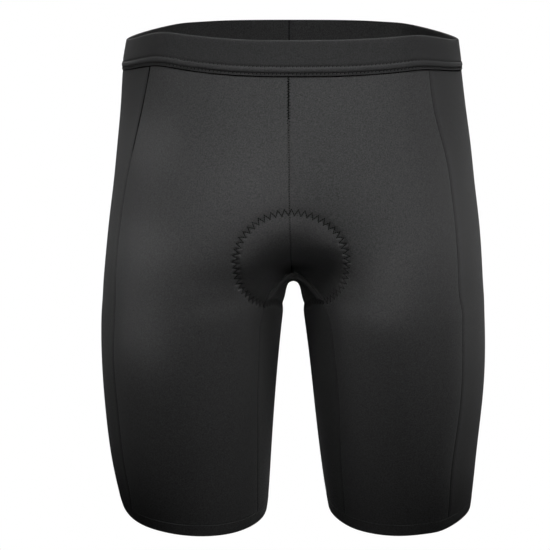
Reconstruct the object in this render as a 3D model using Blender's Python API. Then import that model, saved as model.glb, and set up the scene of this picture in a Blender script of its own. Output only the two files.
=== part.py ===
"""Triathlon shorts, filled out as when worn: six cut panels, a waistband, two hem bands and a seat pad.

Frame: metres, +Z up, the front faces -Y and the wearer's left is +X.
The origin is the middle of the waist, half way up the waistband, where the wearer's waist holds the
shorts up.

The garment's surface is a cage of rows and columns worked out from the tables of sections below. The cage
is solved so that its subdivided surface passes through every section. The surface is then cut along its
seams, and each cut piece is thickened into a closed wall of cloth of its own.
"""

from collections import namedtuple

import bpy
import numpy as np

# Cloth walls, how far the bands stand proud of the panels, and the gap left along every seam.
CLOTH_WALL = 0.0015
WAISTBAND_WALL = 0.0026
WAISTBAND_PROUD = 0.0007
HEM_WALL = 0.0022
HEM_PROUD = 0.0003
SEAM_GAP = 0.0003

# Cage columns: across the front, side and back panel of one half, and round the inner thigh.
FRONT_COLUMNS = 5
SIDE_COLUMNS = 3
BACK_COLUMNS = 5
INNER_COLUMNS = 4
SUBDIVISION_LEVEL = 1
SOLVER_ROUNDS = 4

# How far out the dip between the thighs reaches, as a share of the half width.
DIP_SHARE = 0.50
THIGH_SQUARENESS = 2.08
# How closely the rise of a leg row towards the crotch keeps to the inner thigh.
INNER_RISE_POWER = 6
# At the hem each leg's opening slopes down this far to the inside, and this far to the front.
HEM_INSIDE_DROP = {"right": 0.0092, "left": 0.0032}
HEM_FRONT_DROP = 0.0026
PATH_POINTS = 241

# Rows from the waist down to the crotch. Front and back are depths of the fullest part, which is the
# thigh's own centre from the hips down, at thigh_share of the half width, and squareness is the section's
# there (2 is an ellipse). The centre seams are placed by centre_x, front_y and front_z, back_y and back_z.
# Between the thighs the cloth dips in to them, in a smooth trough at a dip_power of 2, in a crease below 1.
# Each side has its half width, its front side seam as a share of that, and how far the row rises by it.
HipSide = namedtuple("HipSide", "half_width seam rise")
HipRow = namedtuple(
    "HipRow",
    "side_z thigh_share dip_power front front_square back back_square centre_x front_y front_z "
    "back_y back_z seam_back right left",
)
HIP_ROWS = (
    HipRow(0.0080, 0.00, 2.00, 0.0980, 2.35, 0.1000, 3.10, -0.0032, -0.0980, 0.0150, 0.1010, 0.0160, 0.78,
           HipSide(0.1388, 0.810, 0.0065), HipSide(0.1386, 0.778, 0.0040)),
    HipRow(-0.0178, 0.00, 2.00, 0.1000, 2.35, 0.1040, 2.80, -0.0032, -0.1000, -0.0138, 0.1040, -0.0130, 0.79,
           HipSide(0.1435, 0.811, 0.0070), HipSide(0.1425, 0.777, 0.0040)),
    HipRow(-0.0500, 0.03, 2.00, 0.1035, 2.30, 0.1130, 2.45, -0.0032, -0.1035, -0.0480, 0.1130, -0.0480, 0.81,
           HipSide(0.1468, 0.847, 0.0040), HipSide(0.1474, 0.792, 0.0020)),
    HipRow(-0.0820, 0.10, 2.00, 0.1055, 2.20, 0.1200, 2.25, -0.0030, -0.1055, -0.0820, 0.1200, -0.0830, 0.83,
           HipSide(0.1511, 0.880, 0.0015), HipSide(0.1530, 0.826, 0.0010)),
    HipRow(-0.1140, 0.20, 1.90, 0.1060, 2.15, 0.1220, 2.15, -0.0026, -0.1050, -0.1160, 0.1210, -0.1170, 0.85,
           HipSide(0.1551, 0.908, 0.0), HipSide(0.1573, 0.845, 0.0)),
    HipRow(-0.1460, 0.32, 1.60, 0.1050, 2.12, 0.1210, 2.12, -0.0018, -0.0980, -0.1470, 0.1150, -0.1500, 0.86,
           HipSide(0.1597, 0.911, 0.0), HipSide(0.1618, 0.841, 0.0)),
    HipRow(-0.1750, 0.44, 1.15, 0.1030, 2.10, 0.1160, 2.10, -0.0008, -0.0770, -0.1740, 0.0920, -0.1780, 0.86,
           HipSide(0.1632, 0.912, 0.0), HipSide(0.1648, 0.839, 0.0)),
    HipRow(-0.2020, 0.49, 0.75, 0.1008, 2.08, 0.1095, 2.08, 0.0004, -0.0430, -0.1900, 0.0530, -0.1965, 0.86,
           HipSide(0.1661, 0.906, 0.0), HipSide(0.1669, 0.841, 0.0)),
)

# The centre seam under the body, from the end of the front centre seam to the back.
CrotchPoint = namedtuple("CrotchPoint", "x y z")
CROTCH_POINTS = (
    CrotchPoint(0.0012, -0.018, -0.2010),
    CrotchPoint(0.0012, 0.005, -0.2060),
    CrotchPoint(0.0008, 0.028, -0.2048),
)

# Rows down each leg. The depths are from the middle of the body. Each side has its leg's outer and inner
# distances from the centre plane, its inseam as an angle round the leg from the inner thigh, and its
# front side seam as an angle from the outer side. Under the end of the front centre seam a row is lifted.
LegSide = namedtuple("LegSide", "outer inner inseam seam")
LegRow = namedtuple("LegRow", "outer_z inner_z inseam_lift front back seam_back right left")
LEG_ROWS = (
    LegRow(-0.2170, -0.2078, 0.0105, 0.0992, 0.1055, 46,
           LegSide(0.1672, 0.0036, 36, 38), LegSide(0.1682, 0.0052, 40, 47)),
    LegRow(-0.2330, -0.2155, 0.0000, 0.0972, 0.1005, 46,
           LegSide(0.1686, 0.0062, 43, 38), LegSide(0.1690, 0.0078, 47, 47)),
    LegRow(-0.2630, -0.2350, 0.0000, 0.0934, 0.0945, 46,
           LegSide(0.1695, 0.0087, 42, 38), LegSide(0.1703, 0.0102, 48, 48)),
    LegRow(-0.3040, -0.2740, 0.0000, 0.0880, 0.0875, 46,
           LegSide(0.1684, 0.0127, 40, 39), LegSide(0.1697, 0.0152, 48, 50)),
    LegRow(-0.3520, -0.3300, 0.0000, 0.0817, 0.0800, 46,
           LegSide(0.1649, 0.0172, 36, 41), LegSide(0.1658, 0.0212, 45, 52)),
    LegRow(-0.3840, -0.3780, 0.0000, 0.0776, 0.0750, 46,
           LegSide(0.1605, 0.0203, 33, 42), LegSide(0.1634, 0.0271, 43, 53)),
    LegRow(-0.4035, -0.4015, 0.0000, 0.0750, 0.0720, 46,
           LegSide(0.1568, 0.0220, 31, 40), LegSide(0.1618, 0.0308, 41, 53)),
    LegRow(-0.4138, -0.4125, 0.0000, 0.0738, 0.0708, 46,
           LegSide(0.1540, 0.0235, 31, 38), LegSide(0.1607, 0.0328, 41, 53)),
)
INNER_BACK_ANGLE = 42

# The seat pad's edge: how far it lies from the centre seam, at stations along that seam from the pad's
# front end.
PadStation = namedtuple("PadStation", "along half_width")
PAD_FRONT_Z = -0.1235
PAD_STATIONS = (
    PadStation(0.000, 0.000),
    PadStation(0.002, 0.014),
    PadStation(0.008, 0.027),
    PadStation(0.020, 0.040),
    PadStation(0.036, 0.047),
    PadStation(0.056, 0.047),
    PadStation(0.080, 0.038),
    PadStation(0.104, 0.026),
    PadStation(0.140, 0.021),
    PadStation(0.172, 0.026),
    PadStation(0.208, 0.050),
    PadStation(0.240, 0.062),
    PadStation(0.266, 0.060),
    PadStation(0.282, 0.046),
    PadStation(0.289, 0.026),
    PadStation(0.291, 0.000),
)
PAD_EDGE_WALL = 0.0016
PAD_FOAM_WALL = 0.0060
PAD_SLOPE = 0.018
PAD_GAP = 0.0005

SIDES = {"right": -1, "left": 1}
COLUMNS = FRONT_COLUMNS + SIDE_COLUMNS + BACK_COLUMNS
RING_COLUMNS = COLUMNS + INNER_COLUMNS

PANEL_COLOUR = (0.030, 0.030, 0.031)
SIDE_COLOUR = (0.026, 0.026, 0.027)
BAND_COLOUR = (0.020, 0.020, 0.021)
PAD_COLOUR = (0.055, 0.055, 0.058)
CLOTH_ROUGHNESS = 0.85


def clear_scene():
    for item in list(bpy.data.objects):
        bpy.data.objects.remove(item, do_unlink=True)


def superellipse(angle, squareness):
    """Unit cosine and sine of a squared-off circle at an angle in degrees."""
    cosine = np.cos(np.radians(angle))
    sine = np.sin(np.radians(angle))
    power = 2.0 / squareness
    return np.sign(cosine) * abs(cosine) ** power, np.sign(sine) * abs(sine) ** power


def walk(path, marks, counts):
    """Points along a dense path, evenly spaced between marked places, with the last mark left off."""
    lengths = np.concatenate([[0.0], np.cumsum(np.linalg.norm(np.diff(path, axis=0), axis=1))])
    points = []
    for start, end, count in zip(marks[:-1], marks[1:], counts):
        stations = np.linspace(lengths[start], lengths[end], count, endpoint=False)
        for station in stations:
            points.append([np.interp(station, lengths, path[:, axis]) for axis in range(3)])
    return points


def hip_row_points(row, side_name):
    """One half of a hip row, from the front centre seam round the side to the back one."""
    side = getattr(row, side_name)
    thigh_x = row.thigh_share * side.half_width
    # The straight stretches at the front and back join the centre seams to the round outer part.
    inward = np.linspace(0.0, thigh_x, PATH_POINTS // 4, endpoint=False)
    level = np.ones_like(inward)
    quarter = np.linspace(0.0, 90.0, PATH_POINTS // 2)
    front_x, front_y = superellipse(quarter[::-1], row.front_square)
    back_x, back_y = superellipse(quarter[1:], row.back_square)
    round_x = thigh_x + (side.half_width - thigh_x) * np.concatenate([front_x, back_x])
    x = np.concatenate([inward, round_x, inward[::-1]])
    fullness = np.concatenate([-level, -front_y, back_y, level])
    front = fullness <= 0.0
    depth = np.where(front, row.front, row.back)
    centre_y = np.where(front, row.front_y, row.back_y)
    centre_z = np.where(front, row.front_z, row.back_z)
    reach = np.clip(x / (DIP_SHARE * side.half_width), 0.0, 1.0)
    dip = 1.0 - np.sin(0.5 * np.pi * reach) ** row.dip_power
    y = depth * fullness + (centre_y - np.sign(fullness) * depth) * dip
    out = x / side.half_width
    z = row.side_z + (centre_z - row.side_z) * (1.0 - out ** (2.0 * row.dip_power))
    z += np.where(front, side.rise, 0.0) * np.sin(np.pi * out**3)
    path = np.stack([x, y, z], axis=1)

    middle = len(path) // 2
    front_mark = int(np.argmin(abs(x[:middle] - side.seam * side.half_width)))
    back_mark = middle + int(np.argmin(abs(x[middle:] - row.seam_back * side.half_width)))
    marks = (0, front_mark, back_mark, len(path) - 1)
    points = walk(path, marks, (FRONT_COLUMNS, SIDE_COLUMNS, BACK_COLUMNS))
    points.append(path[-1].tolist())
    points = mirrored(points, SIDES[side_name])
    points[0] = (row.centre_x, *points[0][1:])
    points[-1] = (row.centre_x, *points[-1][1:])
    return points


def leg_row_points(row, side_name):
    """A closed leg row, from the inseam round the front, outer side, back and inner thigh."""
    side = getattr(row, side_name)
    corners = (
        side.inseam,
        180 - side.seam,
        180 + row.seam_back,
        360 - INNER_BACK_ANGLE,
        360 + side.inseam,
    )
    angles = np.linspace(corners[0], corners[-1], PATH_POINTS)
    cosine, sine = superellipse(angles, THIGH_SQUARENESS)
    radius = 0.5 * (side.outer - side.inner)
    x = side.inner + radius * (1.0 - cosine)
    y = np.where(sine > 0.0, -row.front * sine, -row.back * sine)
    rise = (0.5 + 0.5 * np.cos(np.radians(angles))) ** INNER_RISE_POWER
    z = row.outer_z + (row.inner_z - row.outer_z) * rise
    # Next to the crotch the front of the row also rises towards the end of the front centre seam.
    z += row.inseam_lift * np.sqrt(np.clip(sine, 0.0, 1.0)) * (0.5 + 0.5 * cosine)
    # The opening's slope grows down the leg.
    crotch_z = CROTCH_POINTS[1].z
    drop = (row.outer_z - crotch_z) / (LEG_ROWS[-1].outer_z - crotch_z)
    z -= drop * drop * (0.5 * HEM_INSIDE_DROP[side_name] * cosine + HEM_FRONT_DROP * sine)
    marks = [int(round((corner - corners[0]) / 360.0 * (PATH_POINTS - 1))) for corner in corners]
    counts = (FRONT_COLUMNS, SIDE_COLUMNS, BACK_COLUMNS, INNER_COLUMNS)
    return mirrored(walk(np.stack([x, y, z], axis=1), marks, counts), SIDES[side_name])


def mirrored(points, side):
    return [(side * x, y, z) for x, y, z in points]


def panel_name(row, column, side_name):
    """Which cut piece a quad of the cage belongs to."""
    last_row = len(HIP_ROWS) + len(LEG_ROWS) - 2
    if row == 0:
        return "waistband"
    if row == last_row:
        return "hem_" + side_name
    if column < FRONT_COLUMNS:
        return "front_" + side_name
    if column < FRONT_COLUMNS + SIDE_COLUMNS:
        return "side_" + side_name
    return "back_" + side_name


def build_cage():
    """Points, quads, and the piece name and the half of each quad, for the whole garment."""
    points = []
    index = {}
    quads = []
    names = []
    halves = []

    def place(key, point):
        if key not in index:
            index[key] = len(points)
            points.append(point)

    crotch_row = len(HIP_ROWS) - 1
    for side_name in SIDES:
        for row, section in enumerate(HIP_ROWS):
            for column, point in enumerate(hip_row_points(section, side_name)):
                place(cage_key(row, column, side_name), point)
        for step, point in enumerate(reversed(CROTCH_POINTS)):
            place(cage_key(crotch_row, COLUMNS + 1 + step, side_name), point)
        for row, section in enumerate(LEG_ROWS, crotch_row + 1):
            for column, point in enumerate(leg_row_points(section, side_name)):
                place((row, column, side_name), point)

    for side_name, side in SIDES.items():
        for row in range(crotch_row + len(LEG_ROWS)):
            for column in range(COLUMNS if row < crotch_row else RING_COLUMNS):
                after = column + 1 if row < crotch_row else (column + 1) % RING_COLUMNS
                corners = ((row, column), (row + 1, column), (row + 1, after), (row, after))
                quad = [index[cage_key(r, c, side_name)] for r, c in corners]
                quads.append(quad if side > 0 else quad[::-1])
                names.append(panel_name(row, column, side_name))
                halves.append(side)
    return np.array(points), quads, names, halves


def cage_key(row, column, side_name):
    """Both halves share the points of the centre seam."""
    on_centre = row < len(HIP_ROWS) and (column == 0 or column >= COLUMNS)
    return (row, column, "centre" if on_centre else side_name)


def subdivide(points, quads, level, rounds):
    """The smooth surface through every cage point, as vertices, normals, faces and source quads."""
    mesh = bpy.data.meshes.new("cage")
    mesh.from_pydata([tuple(point) for point in points], [], quads)
    source = mesh.attributes.new("source", "INT", "FACE")
    source.data.foreach_set("value", range(len(quads)))
    cage = bpy.data.objects.new("cage", mesh)
    bpy.context.scene.collection.objects.link(cage)
    smoother = cage.modifiers.new("smooth", "SUBSURF")
    smoother.levels = 1
    smoother.render_levels = 1
    smoother.use_limit_surface = True

    control = points.copy()
    for _ in range(rounds):
        surface = evaluated(cage)
        reached = vertex_array(surface)[: len(points)]
        control += points - reached
        mesh.vertices.foreach_set("co", control.ravel())
        mesh.update()

    smoother.levels = level
    smoother.render_levels = level
    surface = evaluated(cage)
    vertices = vertex_array(surface)
    normals = np.empty(len(surface.vertices) * 3)
    surface.vertex_normals.foreach_get("vector", normals)
    faces = [tuple(polygon.vertices) for polygon in surface.polygons]
    sources = np.empty(len(faces), dtype=np.int32)
    surface.attributes["source"].data.foreach_get("value", sources)
    bpy.data.objects.remove(cage, do_unlink=True)
    return vertices, normals.reshape(-1, 3), faces, sources


def evaluated(item):
    bpy.context.view_layer.update()
    return item.evaluated_get(bpy.context.evaluated_depsgraph_get()).to_mesh()


def vertex_array(mesh):
    coordinates = np.empty(len(mesh.vertices) * 3)
    mesh.vertices.foreach_get("co", coordinates)
    return coordinates.reshape(-1, 3)


def face_edges(face):
    return list(zip(face, face[1:] + face[:1]))


def boundary_edges(faces):
    """Directed edges that only one face uses."""
    edges = [edge for face in faces for edge in face_edges(face)]
    known = set(edges)
    return [edge for edge in edges if (edge[1], edge[0]) not in known]


def split_faces(points, faces):
    """Triangles, each quad being split along its shorter diagonal, and the face each one came from."""
    triangles = []
    origins = []
    for number, face in enumerate(faces):
        if len(face) == 3:
            pieces = [face]
        else:
            a, b, c, d = face
            first_is_shorter = np.linalg.norm(points[a] - points[c]) <= np.linalg.norm(points[b] - points[d])
            pieces = [(a, b, c), (a, c, d)] if first_is_shorter else [(a, b, d), (b, c, d)]
        triangles += pieces
        origins += [number] * len(pieces)
    return triangles, origins


def closed_wall(outer, inner, triangles):
    """Outer triangles, the inner ones turned over, and a rim along every boundary edge."""
    count = len(outer)
    points = np.concatenate([outer, inner])
    lining = [tuple(corner + count for corner in reversed(face)) for face in triangles]
    rim = [(end, start, start + count, end + count) for start, end in boundary_edges(triangles)]
    # Rims that face each other across a seam are split alike, so their twisted quads stay apart.
    return points, triangles + lining + split_faces(points, rim)[0]


def cut_piece(surface, chosen, proud, wall):
    """One cut piece of the surface, drawn back from its seams and thickened inwards."""
    vertices, normals, triangles = surface
    used = sorted({corner for face in chosen for corner in triangles[face]})
    renumber = {old: new for new, old in enumerate(used)}
    own_faces = [tuple(renumber[corner] for corner in triangles[face]) for face in chosen]
    points = vertices[used]
    point_normals = normals[used]

    # Every boundary edge draws its ends back into the piece by half the seam gap.
    inward = np.zeros_like(points)
    for start, end in boundary_edges(own_faces):
        along = points[end] - points[start]
        for corner in (start, end):
            across = np.cross(point_normals[corner], along)
            inward[corner] += across / np.linalg.norm(across)
    lengths = np.linalg.norm(inward, axis=1, keepdims=True)
    edge = lengths[:, 0] > 0.0
    # A corner between two seams goes in further, so both of its edges keep their gap.
    direction = inward[edge] / lengths[edge]
    spread = np.clip(lengths[edge] / 2.0, 0.5, 1.0)
    points[edge] += 0.5 * SEAM_GAP * direction / spread
    outer = points + proud * point_normals
    inner = points - (wall - proud) * point_normals
    return closed_wall(outer, inner, own_faces)


def centre_profile(vertices, faces, face_halves):
    """The centre seam from the front of the waist, under the body and up to the back of the waist."""
    left = {edge for face, half in zip(faces, face_halves) if half > 0 for edge in face_edges(face)}
    links = {}
    for face, half in zip(faces, face_halves):
        for start, end in face_edges(face):
            if half < 0 and (end, start) in left:
                links.setdefault(start, set()).add(end)
                links.setdefault(end, set()).add(start)
    ends = [corner for corner, others in links.items() if len(others) == 1]
    corner = min(ends, key=lambda end: vertices[end][1])
    order = [corner]
    while len(order) < len(links):
        corner = next(other for other in links[corner] if other not in order[-2:])
        order.append(corner)
    return vertices[order]


def centre_coordinates(points, profile):
    """How far along the centre seam each point lies, and how far it is from the seam."""
    steps = np.diff(profile, axis=0)
    squares = (steps * steps).sum(axis=1)
    lengths = np.concatenate([[0.0], np.cumsum(np.sqrt(squares))])
    along = []
    away = []
    for point in points:
        shares = np.clip(((point - profile[:-1]) * steps).sum(axis=1) / squares, 0.0, 1.0)
        gaps = np.linalg.norm(profile[:-1] + shares[:, None] * steps - point, axis=1)
        nearest = int(np.argmin(gaps))
        along.append(lengths[nearest] + shares[nearest] * (lengths[nearest + 1] - lengths[nearest]))
        away.append(gaps[nearest])
    return np.array(along), np.array(away)


def pad_depth(points, profile):
    """How far inside the pad's edge each point lies; negative outside."""
    along, away = centre_coordinates(points, profile)
    front_half = profile[: len(profile) // 2]
    lengths = np.concatenate([[0.0], np.cumsum(np.linalg.norm(np.diff(front_half, axis=0), axis=1))])
    along -= np.interp(-PAD_FRONT_Z, -front_half[:, 2], lengths)
    edge = np.array([(station.along, station.half_width) for station in PAD_STATIONS])
    steps = np.diff(edge, axis=0)
    squares = (steps * steps).sum(axis=1)
    depths = []
    for place in np.stack([along, away], axis=1):
        shares = np.clip(((place - edge[:-1]) * steps).sum(axis=1) / squares, 0.0, 1.0)
        gap = np.linalg.norm(edge[:-1] + shares[:, None] * steps - place, axis=1).min()
        inside = edge[0, 0] < place[0] < edge[-1, 0] and place[1] < np.interp(place[0], *edge.T)
        depths.append(gap if inside else -gap)
    return np.array(depths)


def clip_triangles(triangles, depth):
    """The part of a surface where the depth is positive, as corners and faces that use them.

    Each corner is a pair of vertices and a share of the way from the first to the second.
    """
    corners = []
    index = {}
    faces = []

    def corner(first, second):
        key = (min(first, second), max(first, second))
        if key not in index:
            low, high = key
            share = 0.0 if low == high else depth[low] / (depth[low] - depth[high])
            index[key] = len(corners)
            corners.append((low, high, share))
        return index[key]

    for triangle in triangles:
        face = []
        for start, end in face_edges(triangle):
            if depth[start] > 0.0:
                face.append(corner(start, start))
            if (depth[start] > 0.0) != (depth[end] > 0.0):
                face.append(corner(start, end))
        if face:
            faces.append(tuple(face))
    return corners, faces


def build_pad(surface, profile):
    """The pad: the surface inside its edge, moved in past the cloth and thickened towards its middle."""
    vertices, normals, triangles = surface
    depth = pad_depth(vertices, profile)
    corners, faces = clip_triangles(triangles, depth)
    low = [corner[0] for corner in corners]
    high = [corner[1] for corner in corners]
    share = np.array([corner[2] for corner in corners])[:, None]
    points = vertices[low] * (1.0 - share) + vertices[high] * share
    point_normals = normals[low] * (1.0 - share) + normals[high] * share
    inside = np.clip((depth[low] * (1.0 - share[:, 0]) + depth[high] * share[:, 0]) / PAD_SLOPE, 0.0, 1.0)
    fullness = np.sin(0.5 * np.pi * inside)[:, None]
    wall = PAD_EDGE_WALL + (PAD_FOAM_WALL - PAD_EDGE_WALL) * fullness
    outer = points - (CLOTH_WALL + PAD_GAP) * point_normals
    return closed_wall(outer, outer - wall * point_normals, split_faces(points, faces)[0])


def add_object(name, vertices, faces, material):
    mesh = bpy.data.meshes.new(name)
    mesh.from_pydata([tuple(vertex) for vertex in vertices], [], faces)
    mesh.materials.append(material)
    mesh.shade_smooth()
    mesh.set_sharp_from_angle(angle=np.radians(50))
    item = bpy.data.objects.new(name, mesh)
    bpy.context.scene.collection.objects.link(item)
    return item


def make_material(name, colour):
    material = bpy.data.materials.new(name)
    material.use_nodes = True
    shader = material.node_tree.nodes["Principled BSDF"]
    shader.inputs["Base Color"].default_value = (*colour, 1.0)
    shader.inputs["Roughness"].default_value = CLOTH_ROUGHNESS
    shader.inputs["Metallic"].default_value = 0.0
    return material


def main():
    clear_scene()
    colours = {"front": PANEL_COLOUR, "side": SIDE_COLOUR, "back": PANEL_COLOUR}
    walls = {"waistband": (WAISTBAND_PROUD, WAISTBAND_WALL), "hem": (HEM_PROUD, HEM_WALL)}

    points, quads, names, halves = build_cage()
    vertices, normals, faces, sources = subdivide(points, quads, SUBDIVISION_LEVEL, SOLVER_ROUNDS)
    triangles, origins = split_faces(vertices, faces)
    sources = sources[origins]
    surface = (vertices, normals, triangles)
    owners = np.array(names)[sources]
    for name in sorted(set(names)):
        chosen = np.flatnonzero(owners == name)
        kind = name.split("_")[0]
        proud, wall = walls.get(kind, (0.0, CLOTH_WALL))
        wall_mesh = cut_piece(surface, chosen, proud, wall)
        add_object(name, *wall_mesh, make_material(name, colours.get(kind, BAND_COLOUR)))

    profile = centre_profile(vertices, triangles, np.array(halves)[sources])
    add_object("pad", *build_pad(surface, profile), make_material("pad", PAD_COLOUR))


main()
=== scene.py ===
"""Triathlon shorts with their finish: stretch-knit panels, folded bands, stitching and a seat pad.

Frame: metres, +Z up, the front faces -Y and the wearer's left is +X.

One smooth surface is worked out from the garment's tables of sections. It is cut along its seams, and each
piece becomes a thin shell of knit with rolled edges. Stitches are set along the seams and bands afterwards.
"""

from collections import namedtuple
from functools import cache

import bpy
import numpy as np
from bpy.props import FloatProperty, FloatVectorProperty, PointerProperty
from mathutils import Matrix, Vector
from mathutils.bvhtree import BVHTree
from mathutils.geometry import normal as face_normal
from mathutils.kdtree import KDTree


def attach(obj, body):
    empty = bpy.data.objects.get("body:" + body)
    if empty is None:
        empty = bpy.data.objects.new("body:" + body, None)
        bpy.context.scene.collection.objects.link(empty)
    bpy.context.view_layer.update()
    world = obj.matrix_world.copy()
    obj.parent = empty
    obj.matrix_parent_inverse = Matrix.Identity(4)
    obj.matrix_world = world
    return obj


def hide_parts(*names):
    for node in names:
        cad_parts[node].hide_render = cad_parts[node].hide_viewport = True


bl_info = {
    "name": "Triathlon Shorts",
    "version": (1, 0, 0),
    "blender": (4, 5, 0),
    "location": "3D View > Sidebar > Shorts",
    "description": "Makes stretch-knit shorts with bands, seams, stitching and a seat pad",
    "category": "Add Mesh",
}

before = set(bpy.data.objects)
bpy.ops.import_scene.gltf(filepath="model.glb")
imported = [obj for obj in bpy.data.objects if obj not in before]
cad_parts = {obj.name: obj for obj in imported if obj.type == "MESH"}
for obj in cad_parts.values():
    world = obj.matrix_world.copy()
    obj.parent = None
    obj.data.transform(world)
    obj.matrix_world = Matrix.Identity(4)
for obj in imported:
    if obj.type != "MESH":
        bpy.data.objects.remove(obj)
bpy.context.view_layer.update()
BODY = "root"

# --- Small helpers ---


def clamp(values):
    return np.clip(values, 0.0, 1.0)


def ease(values):
    """A quarter of a sine, from nothing to one and level at the top."""
    return np.sin(0.5 * np.pi * clamp(values))


def bell(distance, width):
    return np.exp(-((distance / width) ** 2))


def blend(first, second, share):
    return first * (1.0 - share) + second * share


def unit(vectors):
    return vectors / np.maximum(np.linalg.norm(vectors, axis=-1, keepdims=True), 1e-12)


def sums(owners, values, count):
    return np.stack([np.bincount(owners, values[:, axis], count) for axis in range(3)], axis=1)


def flattened(groups):
    """The members of all the groups one after another, and the number of the group of each."""
    sizes = [len(group) for group in groups]
    return np.concatenate([np.array(group) for group in groups]), np.repeat(np.arange(len(groups)), sizes)


def read(items, field, width, kind=float):
    """A field of every item of a mesh, as rows of this many numbers."""
    values = np.empty(len(items) * width, dtype=kind)
    items.foreach_get(field, values)
    return values.reshape(-1, width)


def add_object(name, data):
    item = bpy.data.objects.new(name, data)
    bpy.context.scene.collection.objects.link(item)
    return item


def add_mesh(name, points, faces, material):
    mesh = bpy.data.meshes.new(name)
    mesh.from_pydata([tuple(point) for point in points], [], faces)
    mesh.materials.append(material)
    mesh.shade_smooth()
    return add_object(name, mesh)


# --- The garment's sections, as its solids have them ---

# Cage columns: across the front, side and back panel of one half, and round the inner thigh.
FRONT_COLUMNS = 5
SIDE_COLUMNS = 3
BACK_COLUMNS = 5
INNER_COLUMNS = 4
COLUMNS = FRONT_COLUMNS + SIDE_COLUMNS + BACK_COLUMNS
RING_COLUMNS = COLUMNS + INNER_COLUMNS
SIDES = {"right": -1, "left": 1}
SURFACE_LEVEL = 3
SOLVER_ROUNDS = 4

# How far out the dip between the thighs reaches, as a share of the half width.
DIP_SHARE = 0.50
THIGH_SQUARENESS = 2.08
# How closely the rise of a leg row towards the crotch keeps to the inner thigh.
INNER_RISE_POWER = 6
# At the hem each leg's opening slopes down this far to the inside, and this far to the front.
HEM_INSIDE_DROP = {"right": 0.0092, "left": 0.0032}
HEM_FRONT_DROP = 0.0026
PATH_POINTS = 241

# Rows from the waist down to the crotch. Front and back are depths of the fullest part, which is the
# thigh's own centre from the hips down, at thigh_share of the half width, and squareness is the section's
# there (2 is an ellipse). The centre seams are placed by centre_x, front_y and front_z, back_y and back_z.
# Between the thighs the cloth dips in to them, in a smooth trough at a dip_power of 2, in a crease below 1.
# Each side has its half width, its front side seam as a share of that, and how far the row rises by it.
HipSide = namedtuple("HipSide", "half_width seam rise")
HipRow = namedtuple(
    "HipRow",
    "side_z thigh_share dip_power front front_square back back_square centre_x front_y front_z "
    "back_y back_z seam_back right left",
)
HIP_ROWS = (
    HipRow(0.0080, 0.00, 2.00, 0.0980, 2.35, 0.1000, 3.10, -0.0032, -0.0980, 0.0150, 0.1010, 0.0160, 0.78,
           HipSide(0.1388, 0.810, 0.0065), HipSide(0.1386, 0.778, 0.0040)),
    HipRow(-0.0178, 0.00, 2.00, 0.1000, 2.35, 0.1040, 2.80, -0.0032, -0.1000, -0.0138, 0.1040, -0.0130, 0.79,
           HipSide(0.1435, 0.811, 0.0070), HipSide(0.1425, 0.777, 0.0040)),
    HipRow(-0.0500, 0.03, 2.00, 0.1035, 2.30, 0.1130, 2.45, -0.0032, -0.1035, -0.0480, 0.1130, -0.0480, 0.81,
           HipSide(0.1468, 0.847, 0.0040), HipSide(0.1474, 0.792, 0.0020)),
    HipRow(-0.0820, 0.10, 2.00, 0.1055, 2.20, 0.1200, 2.25, -0.0030, -0.1055, -0.0820, 0.1200, -0.0830, 0.83,
           HipSide(0.1511, 0.880, 0.0015), HipSide(0.1530, 0.826, 0.0010)),
    HipRow(-0.1140, 0.20, 1.90, 0.1060, 2.15, 0.1220, 2.15, -0.0026, -0.1050, -0.1160, 0.1210, -0.1170, 0.85,
           HipSide(0.1551, 0.908, 0.0), HipSide(0.1573, 0.845, 0.0)),
    HipRow(-0.1460, 0.32, 1.60, 0.1050, 2.12, 0.1210, 2.12, -0.0018, -0.0980, -0.1470, 0.1150, -0.1500, 0.86,
           HipSide(0.1597, 0.911, 0.0), HipSide(0.1618, 0.841, 0.0)),
    HipRow(-0.1750, 0.44, 1.15, 0.1030, 2.10, 0.1160, 2.10, -0.0008, -0.0770, -0.1740, 0.0920, -0.1780, 0.86,
           HipSide(0.1632, 0.912, 0.0), HipSide(0.1648, 0.839, 0.0)),
    HipRow(-0.2020, 0.49, 0.75, 0.1008, 2.08, 0.1095, 2.08, 0.0004, -0.0430, -0.1900, 0.0530, -0.1965, 0.86,
           HipSide(0.1661, 0.906, 0.0), HipSide(0.1669, 0.841, 0.0)),
)

# The centre seam under the body, from the end of the front centre seam to the back.
CrotchPoint = namedtuple("CrotchPoint", "x y z")
CROTCH_POINTS = (
    CrotchPoint(0.0012, -0.018, -0.2010),
    CrotchPoint(0.0012, 0.005, -0.2060),
    CrotchPoint(0.0008, 0.028, -0.2048),
)

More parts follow.
